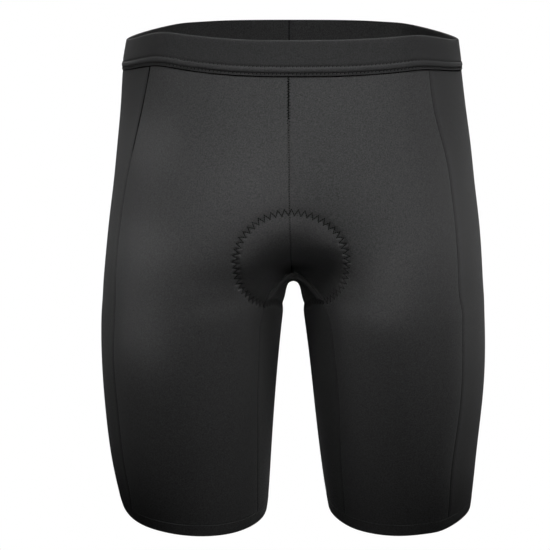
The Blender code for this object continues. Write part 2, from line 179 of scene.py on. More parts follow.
# Rows down each leg. The depths are from the middle of the body. Each side has its leg's outer and inner
# distances from the centre plane, its inseam as an angle round the leg from the inner thigh, and its
# front side seam as an angle from the outer side. Under the end of the front centre seam a row is lifted.
LegSide = namedtuple("LegSide", "outer inner inseam seam")
LegRow = namedtuple("LegRow", "outer_z inner_z inseam_lift front back seam_back right left")
LEG_ROWS = (
    LegRow(-0.2170, -0.2078, 0.0105, 0.0992, 0.1055, 46,
           LegSide(0.1672, 0.0036, 36, 38), LegSide(0.1682, 0.0052, 40, 47)),
    LegRow(-0.2330, -0.2155, 0.0000, 0.0972, 0.1005, 46,
           LegSide(0.1686, 0.0062, 43, 38), LegSide(0.1690, 0.0078, 47, 47)),
    LegRow(-0.2630, -0.2350, 0.0000, 0.0934, 0.0945, 46,
           LegSide(0.1695, 0.0087, 42, 38), LegSide(0.1703, 0.0102, 48, 48)),
    LegRow(-0.3040, -0.2740, 0.0000, 0.0880, 0.0875, 46,
           LegSide(0.1684, 0.0127, 40, 39), LegSide(0.1697, 0.0152, 48, 50)),
    LegRow(-0.3520, -0.3300, 0.0000, 0.0817, 0.0800, 46,
           LegSide(0.1649, 0.0172, 36, 41), LegSide(0.1658, 0.0212, 45, 52)),
    LegRow(-0.3840, -0.3780, 0.0000, 0.0776, 0.0750, 46,
           LegSide(0.1605, 0.0203, 33, 42), LegSide(0.1634, 0.0271, 43, 53)),
    LegRow(-0.4035, -0.4015, 0.0000, 0.0750, 0.0720, 46,
           LegSide(0.1568, 0.0220, 31, 40), LegSide(0.1618, 0.0308, 41, 53)),
    LegRow(-0.4138, -0.4125, 0.0000, 0.0738, 0.0708, 46,
           LegSide(0.1540, 0.0235, 31, 38), LegSide(0.1607, 0.0328, 41, 53)),
)
INNER_BACK_ANGLE = 42

# Cage rows that bound the waistband, the legs and the hem bands.
BAND_ROW = 1
CROTCH_ROW = len(HIP_ROWS) - 1
LAST_ROW = len(HIP_ROWS) + len(LEG_ROWS) - 1
HEM_ROW = LAST_ROW - 1

# The seat pad's edge: how far it lies from the centre seam, at stations along that seam from the pad's
# front end.
PadStation = namedtuple("PadStation", "along half_width")
PAD_FRONT_Z = -0.1235
PAD_STATIONS = (
    PadStation(0.000, 0.000),
    PadStation(0.002, 0.014),
    PadStation(0.008, 0.027),
    PadStation(0.020, 0.040),
    PadStation(0.036, 0.047),
    PadStation(0.056, 0.047),
    PadStation(0.080, 0.038),
    PadStation(0.104, 0.026),
    PadStation(0.140, 0.021),
    PadStation(0.172, 0.026),
    PadStation(0.208, 0.050),
    PadStation(0.240, 0.062),
    PadStation(0.266, 0.060),
    PadStation(0.282, 0.046),
    PadStation(0.289, 0.026),
    PadStation(0.291, 0.000),
)


def superellipse(angle, squareness):
    """Unit cosine and sine of a squared-off circle at an angle in degrees."""
    cosine = np.cos(np.radians(angle))
    sine = np.sin(np.radians(angle))
    power = 2.0 / squareness
    return np.sign(cosine) * abs(cosine) ** power, np.sign(sine) * abs(sine) ** power


def path_lengths(points):
    return np.concatenate([[0.0], np.cumsum(np.linalg.norm(np.diff(points, axis=0), axis=1))])


def walk(path, marks, counts):
    """Points along a dense path, evenly spaced between marked places, with the last mark left off."""
    lengths = path_lengths(path)
    points = []
    for start, end, count in zip(marks[:-1], marks[1:], counts):
        stations = np.linspace(lengths[start], lengths[end], count, endpoint=False)
        for station in stations:
            points.append([np.interp(station, lengths, path[:, axis]) for axis in range(3)])
    return points


def hip_row_points(row, side_name):
    """One half of a hip row, from the front centre seam round the side to the back one."""
    side = getattr(row, side_name)
    thigh_x = row.thigh_share * side.half_width
    # The straight stretches at the front and back join the centre seams to the round outer part.
    inward = np.linspace(0.0, thigh_x, PATH_POINTS // 4, endpoint=False)
    level = np.ones_like(inward)
    quarter = np.linspace(0.0, 90.0, PATH_POINTS // 2)
    front_x, front_y = superellipse(quarter[::-1], row.front_square)
    back_x, back_y = superellipse(quarter[1:], row.back_square)
    round_x = thigh_x + (side.half_width - thigh_x) * np.concatenate([front_x, back_x])
    x = np.concatenate([inward, round_x, inward[::-1]])
    fullness = np.concatenate([-level, -front_y, back_y, level])
    front = fullness <= 0.0
    depth = np.where(front, row.front, row.back)
    centre_y = np.where(front, row.front_y, row.back_y)
    centre_z = np.where(front, row.front_z, row.back_z)
    dip = 1.0 - ease(x / (DIP_SHARE * side.half_width)) ** row.dip_power
    y = depth * fullness + (centre_y - np.sign(fullness) * depth) * dip
    out = x / side.half_width
    z = row.side_z + (centre_z - row.side_z) * (1.0 - out ** (2.0 * row.dip_power))
    z += np.where(front, side.rise, 0.0) * np.sin(np.pi * out**3)
    path = np.stack([x, y, z], axis=1)

    middle = len(path) // 2
    front_mark = int(np.argmin(abs(x[:middle] - side.seam * side.half_width)))
    back_mark = middle + int(np.argmin(abs(x[middle:] - row.seam_back * side.half_width)))
    marks = (0, front_mark, back_mark, len(path) - 1)
    points = walk(path, marks, (FRONT_COLUMNS, SIDE_COLUMNS, BACK_COLUMNS))
    points.append(path[-1].tolist())
    points = mirrored(points, SIDES[side_name])
    points[0] = (row.centre_x, *points[0][1:])
    points[-1] = (row.centre_x, *points[-1][1:])
    return points


def leg_row_points(row, side_name):
    """A closed leg row, from the inseam round the front, outer side, back and inner thigh."""
    side = getattr(row, side_name)
    inseam = side.inseam
    corners = (inseam, 180 - side.seam, 180 + row.seam_back, 360 - INNER_BACK_ANGLE, 360 + inseam)
    angles = np.linspace(corners[0], corners[-1], PATH_POINTS)
    cosine, sine = superellipse(angles, THIGH_SQUARENESS)
    radius = 0.5 * (side.outer - side.inner)
    x = side.inner + radius * (1.0 - cosine)
    y = np.where(sine > 0.0, -row.front * sine, -row.back * sine)
    rise = (0.5 + 0.5 * np.cos(np.radians(angles))) ** INNER_RISE_POWER
    z = row.outer_z + (row.inner_z - row.outer_z) * rise
    # Next to the crotch the front of the row also rises towards the end of the front centre seam.
    z += row.inseam_lift * np.sqrt(clamp(sine)) * (0.5 + 0.5 * cosine)
    # The opening's slope grows down the leg.
    crotch_z = CROTCH_POINTS[1].z
    drop = (row.outer_z - crotch_z) / (LEG_ROWS[-1].outer_z - crotch_z)
    z -= drop * drop * (0.5 * HEM_INSIDE_DROP[side_name] * cosine + HEM_FRONT_DROP * sine)
    marks = [int(round((corner - corners[0]) / 360.0 * (PATH_POINTS - 1))) for corner in corners]
    counts = (FRONT_COLUMNS, SIDE_COLUMNS, BACK_COLUMNS, INNER_COLUMNS)
    return mirrored(walk(np.stack([x, y, z], axis=1), marks, counts), SIDES[side_name])


def mirrored(points, side):
    return [(side * x, y, z) for x, y, z in points]


def panel_name(row, column, side_name):
    """Which cut piece a quad of the cage belongs to."""
    if row < BAND_ROW:
        return "waistband"
    if row == HEM_ROW:
        part = "hem"
    elif column < FRONT_COLUMNS:
        part = "front"
    else:
        part = "side" if column < FRONT_COLUMNS + SIDE_COLUMNS else "back"
    return f"{part}_{side_name}"


def build_cage():
    """Points and quads of the whole garment, with each quad's corner cells, its piece and its half."""
    points, index = [], {}
    quads, cells, names, halves = [], [], [], []

    def place(key, point):
        if key not in index:
            index[key] = len(points)
            points.append(point)

    for side_name in SIDES:
        for row, section in enumerate(HIP_ROWS):
            for column, point in enumerate(hip_row_points(section, side_name)):
                place(cage_key(row, column, side_name), point)
        for step, point in enumerate(reversed(CROTCH_POINTS)):
            place(cage_key(CROTCH_ROW, COLUMNS + 1 + step, side_name), point)
        for row, section in enumerate(LEG_ROWS, CROTCH_ROW + 1):
            for column, point in enumerate(leg_row_points(section, side_name)):
                place((row, column, side_name), point)

    for side_name, side in SIDES.items():
        for row in range(LAST_ROW):
            for column in range(COLUMNS if row < CROTCH_ROW else RING_COLUMNS):
                corners = [(column, row), (column, row + 1), (column + 1, row + 1), (column + 1, row)]
                corners = corners if side > 0 else corners[::-1]
                quads.append([index[cage_key(r, c, side_name)] for c, r in corners])
                cells.append(corners)
                names.append(panel_name(row, column, side_name))
                halves.append(side)
    return np.array(points), quads, cells, names, halves


def cage_key(row, column, side_name):
    """Both halves share the points of the centre seam, and a ring ends where it starts."""
    column = column % RING_COLUMNS
    on_centre = row < len(HIP_ROWS) and (column == 0 or column >= COLUMNS)
    return (row, column, "centre" if on_centre else side_name)


# --- The smooth surface ---

Surface = namedtuple("Surface", "points normals faces cells names halves")

# Every cage cell is this many fine cells each way.
FINE = 2**SURFACE_LEVEL


def evaluated(item):
    """An object with its modifiers worked out."""
    bpy.context.view_layer.update()
    return item.evaluated_get(bpy.context.evaluated_depsgraph_get())


@cache
def smooth_surface():
    """The fine surface through every section, and its points by half, fine column and fine row."""
    points, quads, cells, names, halves = build_cage()
    mesh = bpy.data.meshes.new("cage")
    mesh.from_pydata([tuple(point) for point in points], [], quads)
    mesh.attributes.new("source", "INT", "FACE").data.foreach_set("value", range(len(quads)))
    mesh.uv_layers.new(name="cell").data.foreach_set("uv", np.array(cells, dtype=float).ravel())
    cage = add_object("cage", mesh)
    smoother = cage.modifiers.new("smooth", "SUBSURF")
    smoother.uv_smooth = "NONE"
    smoother.use_limit_surface = True
    smoother.levels = 1
    control = points.copy()
    for _ in range(SOLVER_ROUNDS):
        control += points - read(evaluated(cage).to_mesh().vertices, "co", 3)[: len(points)]
        mesh.vertices.foreach_set("co", control.ravel())
        mesh.update()

    smoother.levels = SURFACE_LEVEL
    fine = evaluated(cage).to_mesh()
    fine_points = read(fine.vertices, "co", 3)
    normals = read(fine.vertex_normals, "vector", 3)
    corners = read(fine.loops, "vertex_index", 1, np.int32).reshape(-1, 4)
    corner_cells = read(fine.uv_layers["cell"].data, "uv", 2)
    sources = read(fine.attributes["source"].data, "value", 1, np.int32)[:, 0]
    bpy.data.objects.remove(cage, do_unlink=True)

    steps = np.rint(corner_cells.reshape(-1, 4, 2) * FINE).astype(int)
    faces = [tuple(face) for face in corners.tolist()]
    face_halves = np.array(halves)[sources]
    stations = {half: np.full((LAST_ROW * FINE + 1, RING_COLUMNS * FINE + 1), -1) for half in (-1, 1)}
    for half in stations:
        mine = face_halves == half
        columns, rows = steps[mine].reshape(-1, 2).T
        stations[half][rows, columns] = corners[mine].ravel()
    fine_cells = [tuple(map(tuple, cell)) for cell in (steps / FINE).tolist()]
    surface = Surface(fine_points, normals, faces, fine_cells, np.array(names)[sources], face_halves)
    return surface, stations


def amid(surface, groups):
    """A new point and normal amid each group of points, lifted on to the round surface they lie on."""
    corners, owners = flattened(groups)
    share = 1.0 / np.bincount(owners)[:, None]
    points = surface.points[corners]
    normals = surface.normals[corners]
    middles = sums(owners, points, len(groups)) * share
    drop = ((middles[owners] - points) * normals).sum(axis=1, keepdims=True)
    lift = 0.5 * share * sums(owners, drop * normals, len(groups))
    return middles - lift, unit(sums(owners, normals, len(groups)))


def refine(surface, chosen):
    """Splits the chosen faces round their middles. Their neighbours take in the new corners."""
    chosen = set(chosen)
    start = len(surface.points)
    groups, halfway = [], {}
    for number in chosen:
        for edge in face_edges(surface.faces[number]):
            key = tuple(sorted(edge))
            if key not in halfway:
                halfway[key] = start + len(groups)
                groups.append(key)
    faces, cells, sources = [], [], []
    for number, (face, cell) in enumerate(zip(surface.faces, surface.cells)):
        new_face, new_cell = [], []
        for edge, ends in zip(face_edges(face), face_edges(cell)):
            new_face.append(edge[0])
            new_cell.append(ends[0])
            key = tuple(sorted(edge))
            if key in halfway:
                new_face.append(halfway[key])
                new_cell.append(tuple(0.5 * (a + b) for a, b in zip(*ends)))
        if number not in chosen:
            faces.append(tuple(new_face))
            cells.append(tuple(new_cell))
            sources.append(number)
            continue
        middle = start + len(groups)
        groups.append(face)
        middle_cell = tuple(sum(values) / len(face) for values in zip(*cell))
        for here in range(0, len(new_face), 2):
            faces.append((new_face[here], new_face[here + 1], middle, new_face[here - 1]))
            cells.append((new_cell[here], new_cell[here + 1], middle_cell, new_cell[here - 1]))
            sources.append(number)
    points, normals = amid(surface, groups)
    points = np.concatenate([surface.points, points])
    normals = np.concatenate([surface.normals, normals])
    return Surface(points, normals, faces, cells, surface.names[sources], surface.halves[sources])


def face_edges(face):
    return list(zip(face, face[1:] + face[:1]))


def face_middles(surface):
    corners, owners = flattened(surface.faces)
    return sums(owners, surface.points[corners], len(surface.faces)) / np.bincount(owners)[:, None]


def line_points(half, columns, rows):
    """Points and normals of the surface along a line of fine cells."""
    surface, stations = smooth_surface()
    line = stations[half][rows, columns]
    return surface.points[line], surface.normals[line]


def cloth_line(half, columns, rows):
    """The same, on the finished cloth."""
    surface, relief = garment()
    _, stations = smooth_surface()
    line = stations[half][rows, columns]
    normals = surface.normals[line]
    return surface.points[line] + relief[line][:, None] * normals, normals


def across_line(half, row):
    """A line from the centre front to the centre back at a cage row, or between two fine rows."""
    columns = np.arange(COLUMNS * FINE + 1)
    above = int(row * FINE)
    share = row * FINE - above
    points, normals = line_points(half, columns, above)
    if share > 0.0:
        next_points, next_normals = line_points(half, columns, above + 1)
        points = blend(points, next_points, share)
        normals = unit(blend(normals, next_normals, share))
    return points, normals


def down_line(half, column, first_row, last_row, line=line_points):
    return line(half, column * FINE, np.arange(first_row * FINE, last_row * FINE + 1))


def waist_ring(row):
    """The closed line round the waist at a cage row, from the centre front and back to it."""
    right, left = (across_line(half, row) for half in SIDES.values())
    return tuple(np.concatenate([a, b[::-1]]) for a, b in zip(right, left))


# --- The seat pad's outline ---

# Points this far above the pad's front end, or this far to the side of the middle, are well outside it.
PAD_ABOVE = 0.03
PAD_BESIDE = 0.09
PAD_OUTSIDE = -0.12
PAD_BATCH = 4000
# How far in from its edge the pad is thickest, and how deep its outer face lies under the cloth's.
PAD_SLOPE = 0.018
PAD_INSET = 0.0021
# How soon its surface counts as its front, by how much the normal points forward.
FRONT_STEEPNESS = 4.0
FRONT_START = 0.1
# Steps of the outline, and how often it is smoothed.
OUTLINE_STEP = 0.001
OUTLINE_SMOOTHING = 12


def nearest_on_path(places, path):
    """How far along a path each place lies, and how far it is from the path."""
    steps = np.diff(path, axis=0)
    squares = np.maximum((steps * steps).sum(axis=1), 1e-18)
    lengths = path_lengths(path)
    rises = places[:, None, :] - path[None, :-1, :]
    shares = clamp((rises * steps).sum(axis=2) / squares)
    gaps = np.linalg.norm(rises - shares[:, :, None] * steps, axis=2)
    nearest = gaps.argmin(axis=1)
    here = np.arange(len(places))
    along = lengths[nearest] + shares[here, nearest] * np.diff(lengths)[nearest]
    return along, gaps[here, nearest]


def centre_lines(first_row, line=line_points):
    """The centre seam's front from a cage row down, its stretch under the body and its back."""
    front, back = (down_line(-1, column, first_row, CROTCH_ROW, line) for column in (0, COLUMNS))
    under = line(-1, np.arange(RING_COLUMNS * FINE, COLUMNS * FINE - 1, -1), CROTCH_ROW * FINE)
    return front, under, back


@cache
def centre_profile():
    """The centre seam, from the front of the waist under the body to the back of the waist."""
    (front, _), (under, _), (back, _) = centre_lines(0)
    every = FINE // 4
    return np.concatenate([front[::every], under[every::every], back[::-every][1:]])


def pad_depth(points):
    """How far inside the pad's edge each point lies, with the surface unrolled along the centre seam."""
    profile = centre_profile()
    along, away = nearest_on_path(points, profile)
    front = profile[: len(profile) // 2]
    along -= np.interp(-PAD_FRONT_Z, -front[:, 2], path_lengths(front))
    edge = np.array([(station.along, station.half_width) for station in PAD_STATIONS])
    _, gap = nearest_on_path(np.stack([along, away], axis=1), edge)
    between = (along > edge[0, 0]) & (along < edge[-1, 0])
    inside = between & (away < np.interp(along, *edge.T))
    return np.where(inside, gap, -gap)


def pad_depths(points):
    """The same for the whole surface; well outside the pad, only a low value."""
    depths = np.full(len(points), PAD_OUTSIDE)
    near = np.flatnonzero((points[:, 2] < PAD_FRONT_Z + PAD_ABOVE) & (abs(points[:, 0]) < PAD_BESIDE))
    for part in np.array_split(near, max(1, len(near) // PAD_BATCH)):
        depths[part] = pad_depth(points[part])
    return depths


def clip_faces(faces, depth):
    """The part of a surface where the depth is positive, as corners and faces that use them.

    Each corner is a pair of points and a share of the way from the first to the second.
    """
    corners = []
    index = {}
    clipped = []

    def corner(first, second):
        key = (min(first, second), max(first, second))
        if key not in index:
            low, high = key
            share = 0.0 if low == high else depth[low] / (depth[low] - depth[high])
            index[key] = len(corners)
            corners.append((low, high, share))
        return index[key]

    for face in faces:
        new_face = []
        for start, end in face_edges(face):
            if depth[start] > 0.0:
                new_face.append(corner(start, start))
            if (depth[start] > 0.0) != (depth[end] > 0.0):
                new_face.append(corner(start, end))
        if len(new_face) > 2:
            clipped.append(tuple(new_face))
    return corners, clipped


def boundary_edges(faces):
    """Directed edges that only one face uses."""
    edges = [edge for face in faces for edge in face_edges(face)]
    known = set(edges)
    return [edge for edge in edges if (edge[1], edge[0]) not in known]


def longest_loop(edges):
    """The corners of the longest closed loop of directed edges, in order."""
    following = dict(edges)
    loops = []
    while following:
        start, corner = following.popitem()
        loop = [start]
        while corner != start:
            loop.append(corner)
            corner = following.pop(corner)
        loops.append(loop)
    return max(loops, key=len)


@cache
def pad_patch():
    """The surface inside the pad's edge: its points, normals, depths and faces."""
    surface, _ = smooth_surface()
    depth = pad_depths(surface.points)
    corners, faces = clip_faces([face for face in surface.faces if depth[list(face)].max() > 0.0], depth)
    low, high, share = map(list, zip(*corners))
    share = np.array(share)[:, None]
    points = blend(surface.points[low], surface.points[high], share)
    normals = unit(blend(surface.normals[low], surface.normals[high], share))
    depths = np.maximum(blend(depth[low], depth[high], share[:, 0]), 0.0)
    return points, normals, depths, faces


def evenly(points, normals, spacing, closed, multiple=1):
    """Points and normals at even steps along a line, about this far apart."""
    if closed:
        points = np.concatenate([points, points[:1]])
        normals = np.concatenate([normals, normals[:1]])
    lengths = path_lengths(points)
    count = max(multiple, multiple * round(lengths[-1] / spacing / multiple))
    stations = np.linspace(0.0, lengths[-1], count + 1)
    stations = stations[:-1] if closed else stations
    points, normals = (
        np.stack([np.interp(stations, lengths, values[:, axis]) for axis in range(3)], axis=1)
        for values in (points, normals)
    )
    return points, unit(normals)


def directions(points, closed):
    if closed:
        return unit(np.roll(points, -1, axis=0) - np.roll(points, 1, axis=0))
    return unit(np.gradient(points, axis=0))


def needle_points(points, normals, pitch, width, steps, closed):
    """Where the needle goes in along a line: a zigzag of this pitch and width, each leg in some steps."""
    points, normals = evenly(points, normals, 0.5 * pitch / steps, closed, 2 * steps)
    across = np.cross(normals, directions(points, closed))
    phase = (np.arange(len(points)) / steps) % 2.0
    offset = 0.5 * width * (2.0 * abs(phase - 1.0) - 1.0)
    return points + offset[:, None] * across, normals


@cache
def pad_outline():
    """The pad's edge as a smooth closed line on the surface, with normals."""
    points, normals, _, faces = pad_patch()
    loop = longest_loop(boundary_edges(faces))
    points, normals = evenly(points[loop], normals[loop], OUTLINE_STEP, True)
    for _ in range(OUTLINE_SMOOTHING):
        points = with_neighbours(points) / 4.0
        normals = unit(with_neighbours(normals))
    return points, normals


def with_neighbours(values):
    return np.roll(values, 1, axis=0) + 2.0 * values + np.roll(values, -1, axis=0)


# --- Relief of the cloth ---

# The zigzag round the pad: its pitch, its width, the stitches in each leg, and how much thicker its thread is
# than the other seams' thread; the thicker, near-black thread also stands for its groove's shade, as painted
# shade.
ZIGZAG_PITCH = 0.0054
ZIGZAG_WIDTH = 0.0052
ZIGZAG_STEPS = 3
ZIGZAG_THREAD = 1.15
# It draws the cloth in along the pad's edge and under each stitch, with half widths of these sizes.
ZIGZAG_PINCH = 0.0011
ZIGZAG_PINCH_WIDTH = 0.0045
ZIGZAG_GROOVE = 0.0009
ZIGZAG_GROOVE_WIDTH = 0.0011
# At the top of the pad it draws in only this share, and all of it this far below.
ZIGZAG_TOP_SHARE = 0.15
ZIGZAG_TOP_REACH = 0.040
# The thread's own line is followed at this step, and the relief is worked out this far outside the pad.
THREAD_STEP = 0.0004
PAD_MARGIN = 0.02
# The pad swells the cloth by this much: in full this far inside its edge, where the cloth is upright, and not
# at all where it faces down. The roundness is a power of the way in from the edge.
PAD_PUFF = 0.0016
PAD_PUFF_REACH = 0.020
PAD_ROUNDNESS = 1.5
SWELL_STEEPNESS = 1.7
SWELL_START = 0.3
# The cloth of the front is drawn back between the swell of the pad and the crotch: how deep, where its middle
# is, how far to each side and between which heights, and how far inside the pad's edge it is in full.
HOLLOW_DEPTH = 0.0128
HOLLOW_MIDDLE = 0.013
HOLLOW_HALF_WIDTH = 0.042
HOLLOW_HEIGHTS = (-0.188, -0.150)
HOLLOW_REACH = 0.012
# It comes back up to the inseams within this distance, measured from points this far apart.
HOLLOW_RETURN = 0.0026
INSEAM_STEP = 0.0005

# How far from the seams and from the zigzag the faces are split, once for each value. The waistband's lower
# part, as a share of its height, is split twice, and needle points dimple the cloth only above its foot.
SEAM_REACHES = (0.007,)
ZIGZAG_REACHES = (0.012, 0.009, 0.005)
BAND_SPLIT = 0.4
BAND_SPLITS = 2
BAND_FOOT = -0.03

# The waistband's relief: its two rows of stitches, as heights above its lower edge, how proud it stands, the
# roll and the grooves of the rows, and the dimples of the needle.
LOWER_ROW = 0.0020
UPPER_ROW = 0.0077
BAND_PROUD = 0.0009
ROLL_HEIGHT = 0.0005
ROW_GROOVE = 0.00025
ROW_GROOVE_WIDTH = 0.0007
BAND_PITCH = 0.0032
NEEDLE_DIMPLE = 0.00035
NEEDLE_DIMPLE_WIDTH = 0.0009
HEM_PROUD = 0.00015


@cache
def zigzag_needles():
    return needle_points(*pad_outline(), ZIGZAG_PITCH, ZIGZAG_WIDTH, ZIGZAG_STEPS, True)


def near_points(places, targets):
    """Distance from each place to the nearest target, and which one it is."""
    tree = KDTree(len(targets))
    for number, target in enumerate(targets):
        tree.insert(target, number)
    tree.balance()
    found = [tree.find(place) for place in places]
    return np.array([hit[2] for hit in found]), np.array([hit[1] for hit in found])


def near_faces(surface, targets, reach):
    """Faces whose middle lies this close to one of the targets."""
    distance, _ = near_points(face_middles(surface), targets)
    return np.flatnonzero(distance < reach).tolist()


def seam_points(surface):
    """Points where two pieces of the garment meet."""
    owner = {}
    seams = set()
    for face, name in zip(surface.faces, surface.names):
        for point in face:
            if owner.setdefault(point, name) != name:
                seams.add(point)
    return sorted(seams)


@cache
def garment():
    """The surface, finer where stitches draw the cloth in and drawn back under the pad, and its relief."""
    surface, _ = smooth_surface()
    outline, _ = pad_outline()
    for reach in SEAM_REACHES:
        surface = refine(surface, near_faces(surface, surface.points[seam_points(surface)], reach))
    for reach in ZIGZAG_REACHES:
        surface = refine(surface, near_faces(surface, outline, reach))
    for _ in range(BAND_SPLITS):
        rows = np.array([cell[0][1] for cell in surface.cells])
        surface = refine(surface, np.flatnonzero((rows < BAND_ROW) & (rows > BAND_ROW - BAND_SPLIT)).tolist())

    depth = pad_depths(surface.points)
    relief = np.zeros(len(surface.points))
    near = np.flatnonzero(depth > -PAD_MARGIN)
    thread, _ = evenly(*zigzag_needles(), THREAD_STEP, True)
    distance, _ = near_points(surface.points[near], thread)
    relief[near] += pad_swell(surface.normals[near], depth[near])
    below = clamp((PAD_FRONT_Z - surface.points[near][:, 2]) / ZIGZAG_TOP_REACH)
    draw = ZIGZAG_PINCH * bell(depth[near], ZIGZAG_PINCH_WIDTH)
    draw += ZIGZAG_GROOVE * bell(distance, ZIGZAG_GROOVE_WIDTH)
    relief[near] -= draw * (ZIGZAG_TOP_SHARE + (1.0 - ZIGZAG_TOP_SHARE) * below)
    points = surface.points.copy()
    points[near, 1] += pad_hollow(points[near], depth[near]) * front_share(surface, near)
    surface = surface._replace(points=points, normals=point_normals(surface.faces, points))

    near = np.flatnonzero(surface.points[:, 2] > BAND_FOOT)
    needles = np.concatenate([points for points, _, _ in band_rows()])
    distance, _ = near_points(surface.points[near], needles)
    relief[near] -= NEEDLE_DIMPLE * bell(distance, NEEDLE_DIMPLE_WIDTH)
    return surface, relief


def pad_share(depth, reach):
    """One inside the pad's edge, falling to nothing at it."""
    return ease(depth / reach) ** PAD_ROUNDNESS


def pad_swell(normals, depth):
    """How far the pad pushes the cloth out: not under the crotch, where the cloth is drawn tight."""
    upright = clamp(SWELL_STEEPNESS * abs(normals[:, 1]) - SWELL_START)
    return PAD_PUFF * pad_share(depth, PAD_PUFF_REACH) * upright


def pad_hollow(points, depth):
    """How far the cloth of the front is drawn back, from the pad's swell down to the crotch."""
    low, high = HOLLOW_HEIGHTS
    down = clamp((high - points[:, 2]) / (high - low))
    aside = clamp(abs(points[:, 0] - HOLLOW_MIDDLE) / HOLLOW_HALF_WIDTH)
    hollow = HOLLOW_DEPTH * down * down * (3.0 - 2.0 * down) * (1.0 - aside**3)
    return hollow * pad_share(depth, HOLLOW_REACH)


def point_normals(faces, points):
    corners, owners = flattened(faces)
    across = np.array([face_normal([points[corner] for corner in face]) for face in faces])
    return unit(sums(corners, across[owners], len(points)))


def front_share(surface, near):
    """One on the front panels, falling to nothing at the inseams and on the other panels."""
    inseams = [down_line(half, 0, CROTCH_ROW, HEM_ROW) for half in SIDES.values()]
    lines = [evenly(*inseam, INSEAM_STEP, False)[0] for inseam in inseams]
    distance, _ = near_points(surface.points[near], np.concatenate(lines))
    front = np.zeros(len(surface.points))
    for face, name in zip(surface.faces, surface.names):
        if name.startswith("front"):
            front[list(face)] = 1.0
    return front[near] * ease(distance / HOLLOW_RETURN)


@cache
def band_rows():
    """The waistband's two rows of stitches."""
    return [row_along(band_line(height), 2.0 * BAND_PITCH, closed=True) for height in (LOWER_ROW, UPPER_ROW)]


# --- Shells of cloth ---

# The finished cloth of each cut piece.
PIECES = {}
# How a piece's edge rolls in at a seam, at the waistband, at the hem band and on the inside.
SEAM_LIP = 0.0006
BAND_LIP = 0.0004
HEM_LIP = 0.00025
INNER_LIP = 0.0003
ROLL_STEPS = 4
# Half the gap between two pieces, and how far from a seam the cloth shifts to make room for it.
SEAM_HALF_GAP = 0.00015
EDGE_SHIFT_REACH = 0.004
# Where the cloth rises beside the upright seams, and how high on each kind of piece.
RIDGE_MIDDLE = 0.0030
RIDGE_WIDTH = 0.0022
SIDE_RIDGE = 0.0004
BACK_RIDGE = 0.0002
HEM_RIDGE = 0.0003
# Steps down the waistband in which a height is looked up.
BAND_STEPS = 200
# Stretch knit is cut smaller than it is worn: these shares of its worn size round and down.
CUT_SHARES = (0.92, 0.98)


@cache
def cloth_tables():
    """How far round each half every fine station lies, and how far down the fine rows lie."""
    surface, stations = smooth_surface()
    across = {}
    for half, grid in stations.items():
        lines = surface.points[grid]
        gaps = np.linalg.norm(np.diff(lines, axis=1), axis=2)
        gaps[grid[:, 1:] < 0] = 0.0
        across[half] = np.pad(np.cumsum(gaps, axis=1), ((0, 0), (1, 0)))
    points, _ = down_line(-1, FRONT_COLUMNS, 0, LAST_ROW)
    return across, path_lengths(points)


def knit_coordinates(cells, half):
    """Metres round and down the cut piece for corners given as cells."""
    across, down = cloth_tables()
    column, row = (np.asarray(cells, dtype=float) * FINE).T
    left = np.clip(column.astype(int), 0, RING_COLUMNS * FINE - 1)
    above = np.clip(row.astype(int), 0, LAST_ROW * FINE - 1)
    right = column - left
    below = row - above
    table = across[half]
    upper, lower = (blend(table[line, left], table[line, left + 1], right) for line in (above, above + 1))
    along = blend(upper, lower, below)
    return np.stack([half * along, -np.interp(row, np.arange(len(down)), down)], axis=1)


def band_heights(rows):
    """Heights above the waistband's lower edge of cage rows."""
    _, down = cloth_tables()
    return down[BAND_ROW * FINE] - np.interp(np.asarray(rows) * FINE, np.arange(len(down)), down)


def band_line(height):
    """The closed line round the waistband at a height above its lower edge."""
    rows = np.linspace(0.0, BAND_ROW, BAND_STEPS + 1)
    return waist_ring(float(np.interp(-height, -band_heights(rows), rows)))


def edge_profile(folds, wall, lips):
    """Inset and depth of an edge's points at each step of its roll, from the outer face to the inner one.

    A fold rolls right round. At a seam the edge rolls in, goes straight down and rolls out a little.
    """
    turn = np.linspace(0.0, np.pi, 2 * ROLL_STEPS)[:, None]
    quarter = np.linspace(0.0, 0.5 * np.pi, ROLL_STEPS)[:, None]
    inner = np.full((1, len(lips)), INNER_LIP)
    back = quarter[::-1]
    inset = SEAM_HALF_GAP + np.concatenate([lips * (1 - np.sin(quarter)), inner * (1 - np.sin(back))])
    depth = np.concatenate([lips * (1 - np.cos(quarter)), wall - inner * (1 - np.cos(back))])
    inset = np.where(folds, 0.5 * wall * (1 - np.sin(turn)), inset)
    return inset[:, :, None], np.where(folds, 0.5 * wall * (1 - np.cos(turn)), depth)[:, :, None]


def piece_patch(name):
    """One piece of the garment by itself: its points' numbers in the garment, its faces, cells and halves."""
    surface, _ = garment()
    chosen = np.flatnonzero(surface.names == name)
    keys = {}
    faces = [tuple(keys.setdefault(point, len(keys)) for point in surface.faces[number]) for number in chosen]
    return list(keys), faces, [surface.cells[number] for number in chosen], surface.halves[chosen].tolist()


def edge_directions(points, normals, rim):
    """The points of a rim and their ways in over the surface, longer at a corner to inset both its sides."""
    inward = np.zeros_like(points)
    for start, end in rim:
        inward[[start, end]] += unit(np.cross(normals[[start, end]], points[end] - points[start]))
    edge = np.flatnonzero(np.linalg.norm(inward, axis=1) > 0.0)
    length = np.linalg.norm(inward[edge], axis=1, keepdims=True)
    return edge, inward[edge] / (length * np.clip(0.5 * length, 0.5, 1.0))


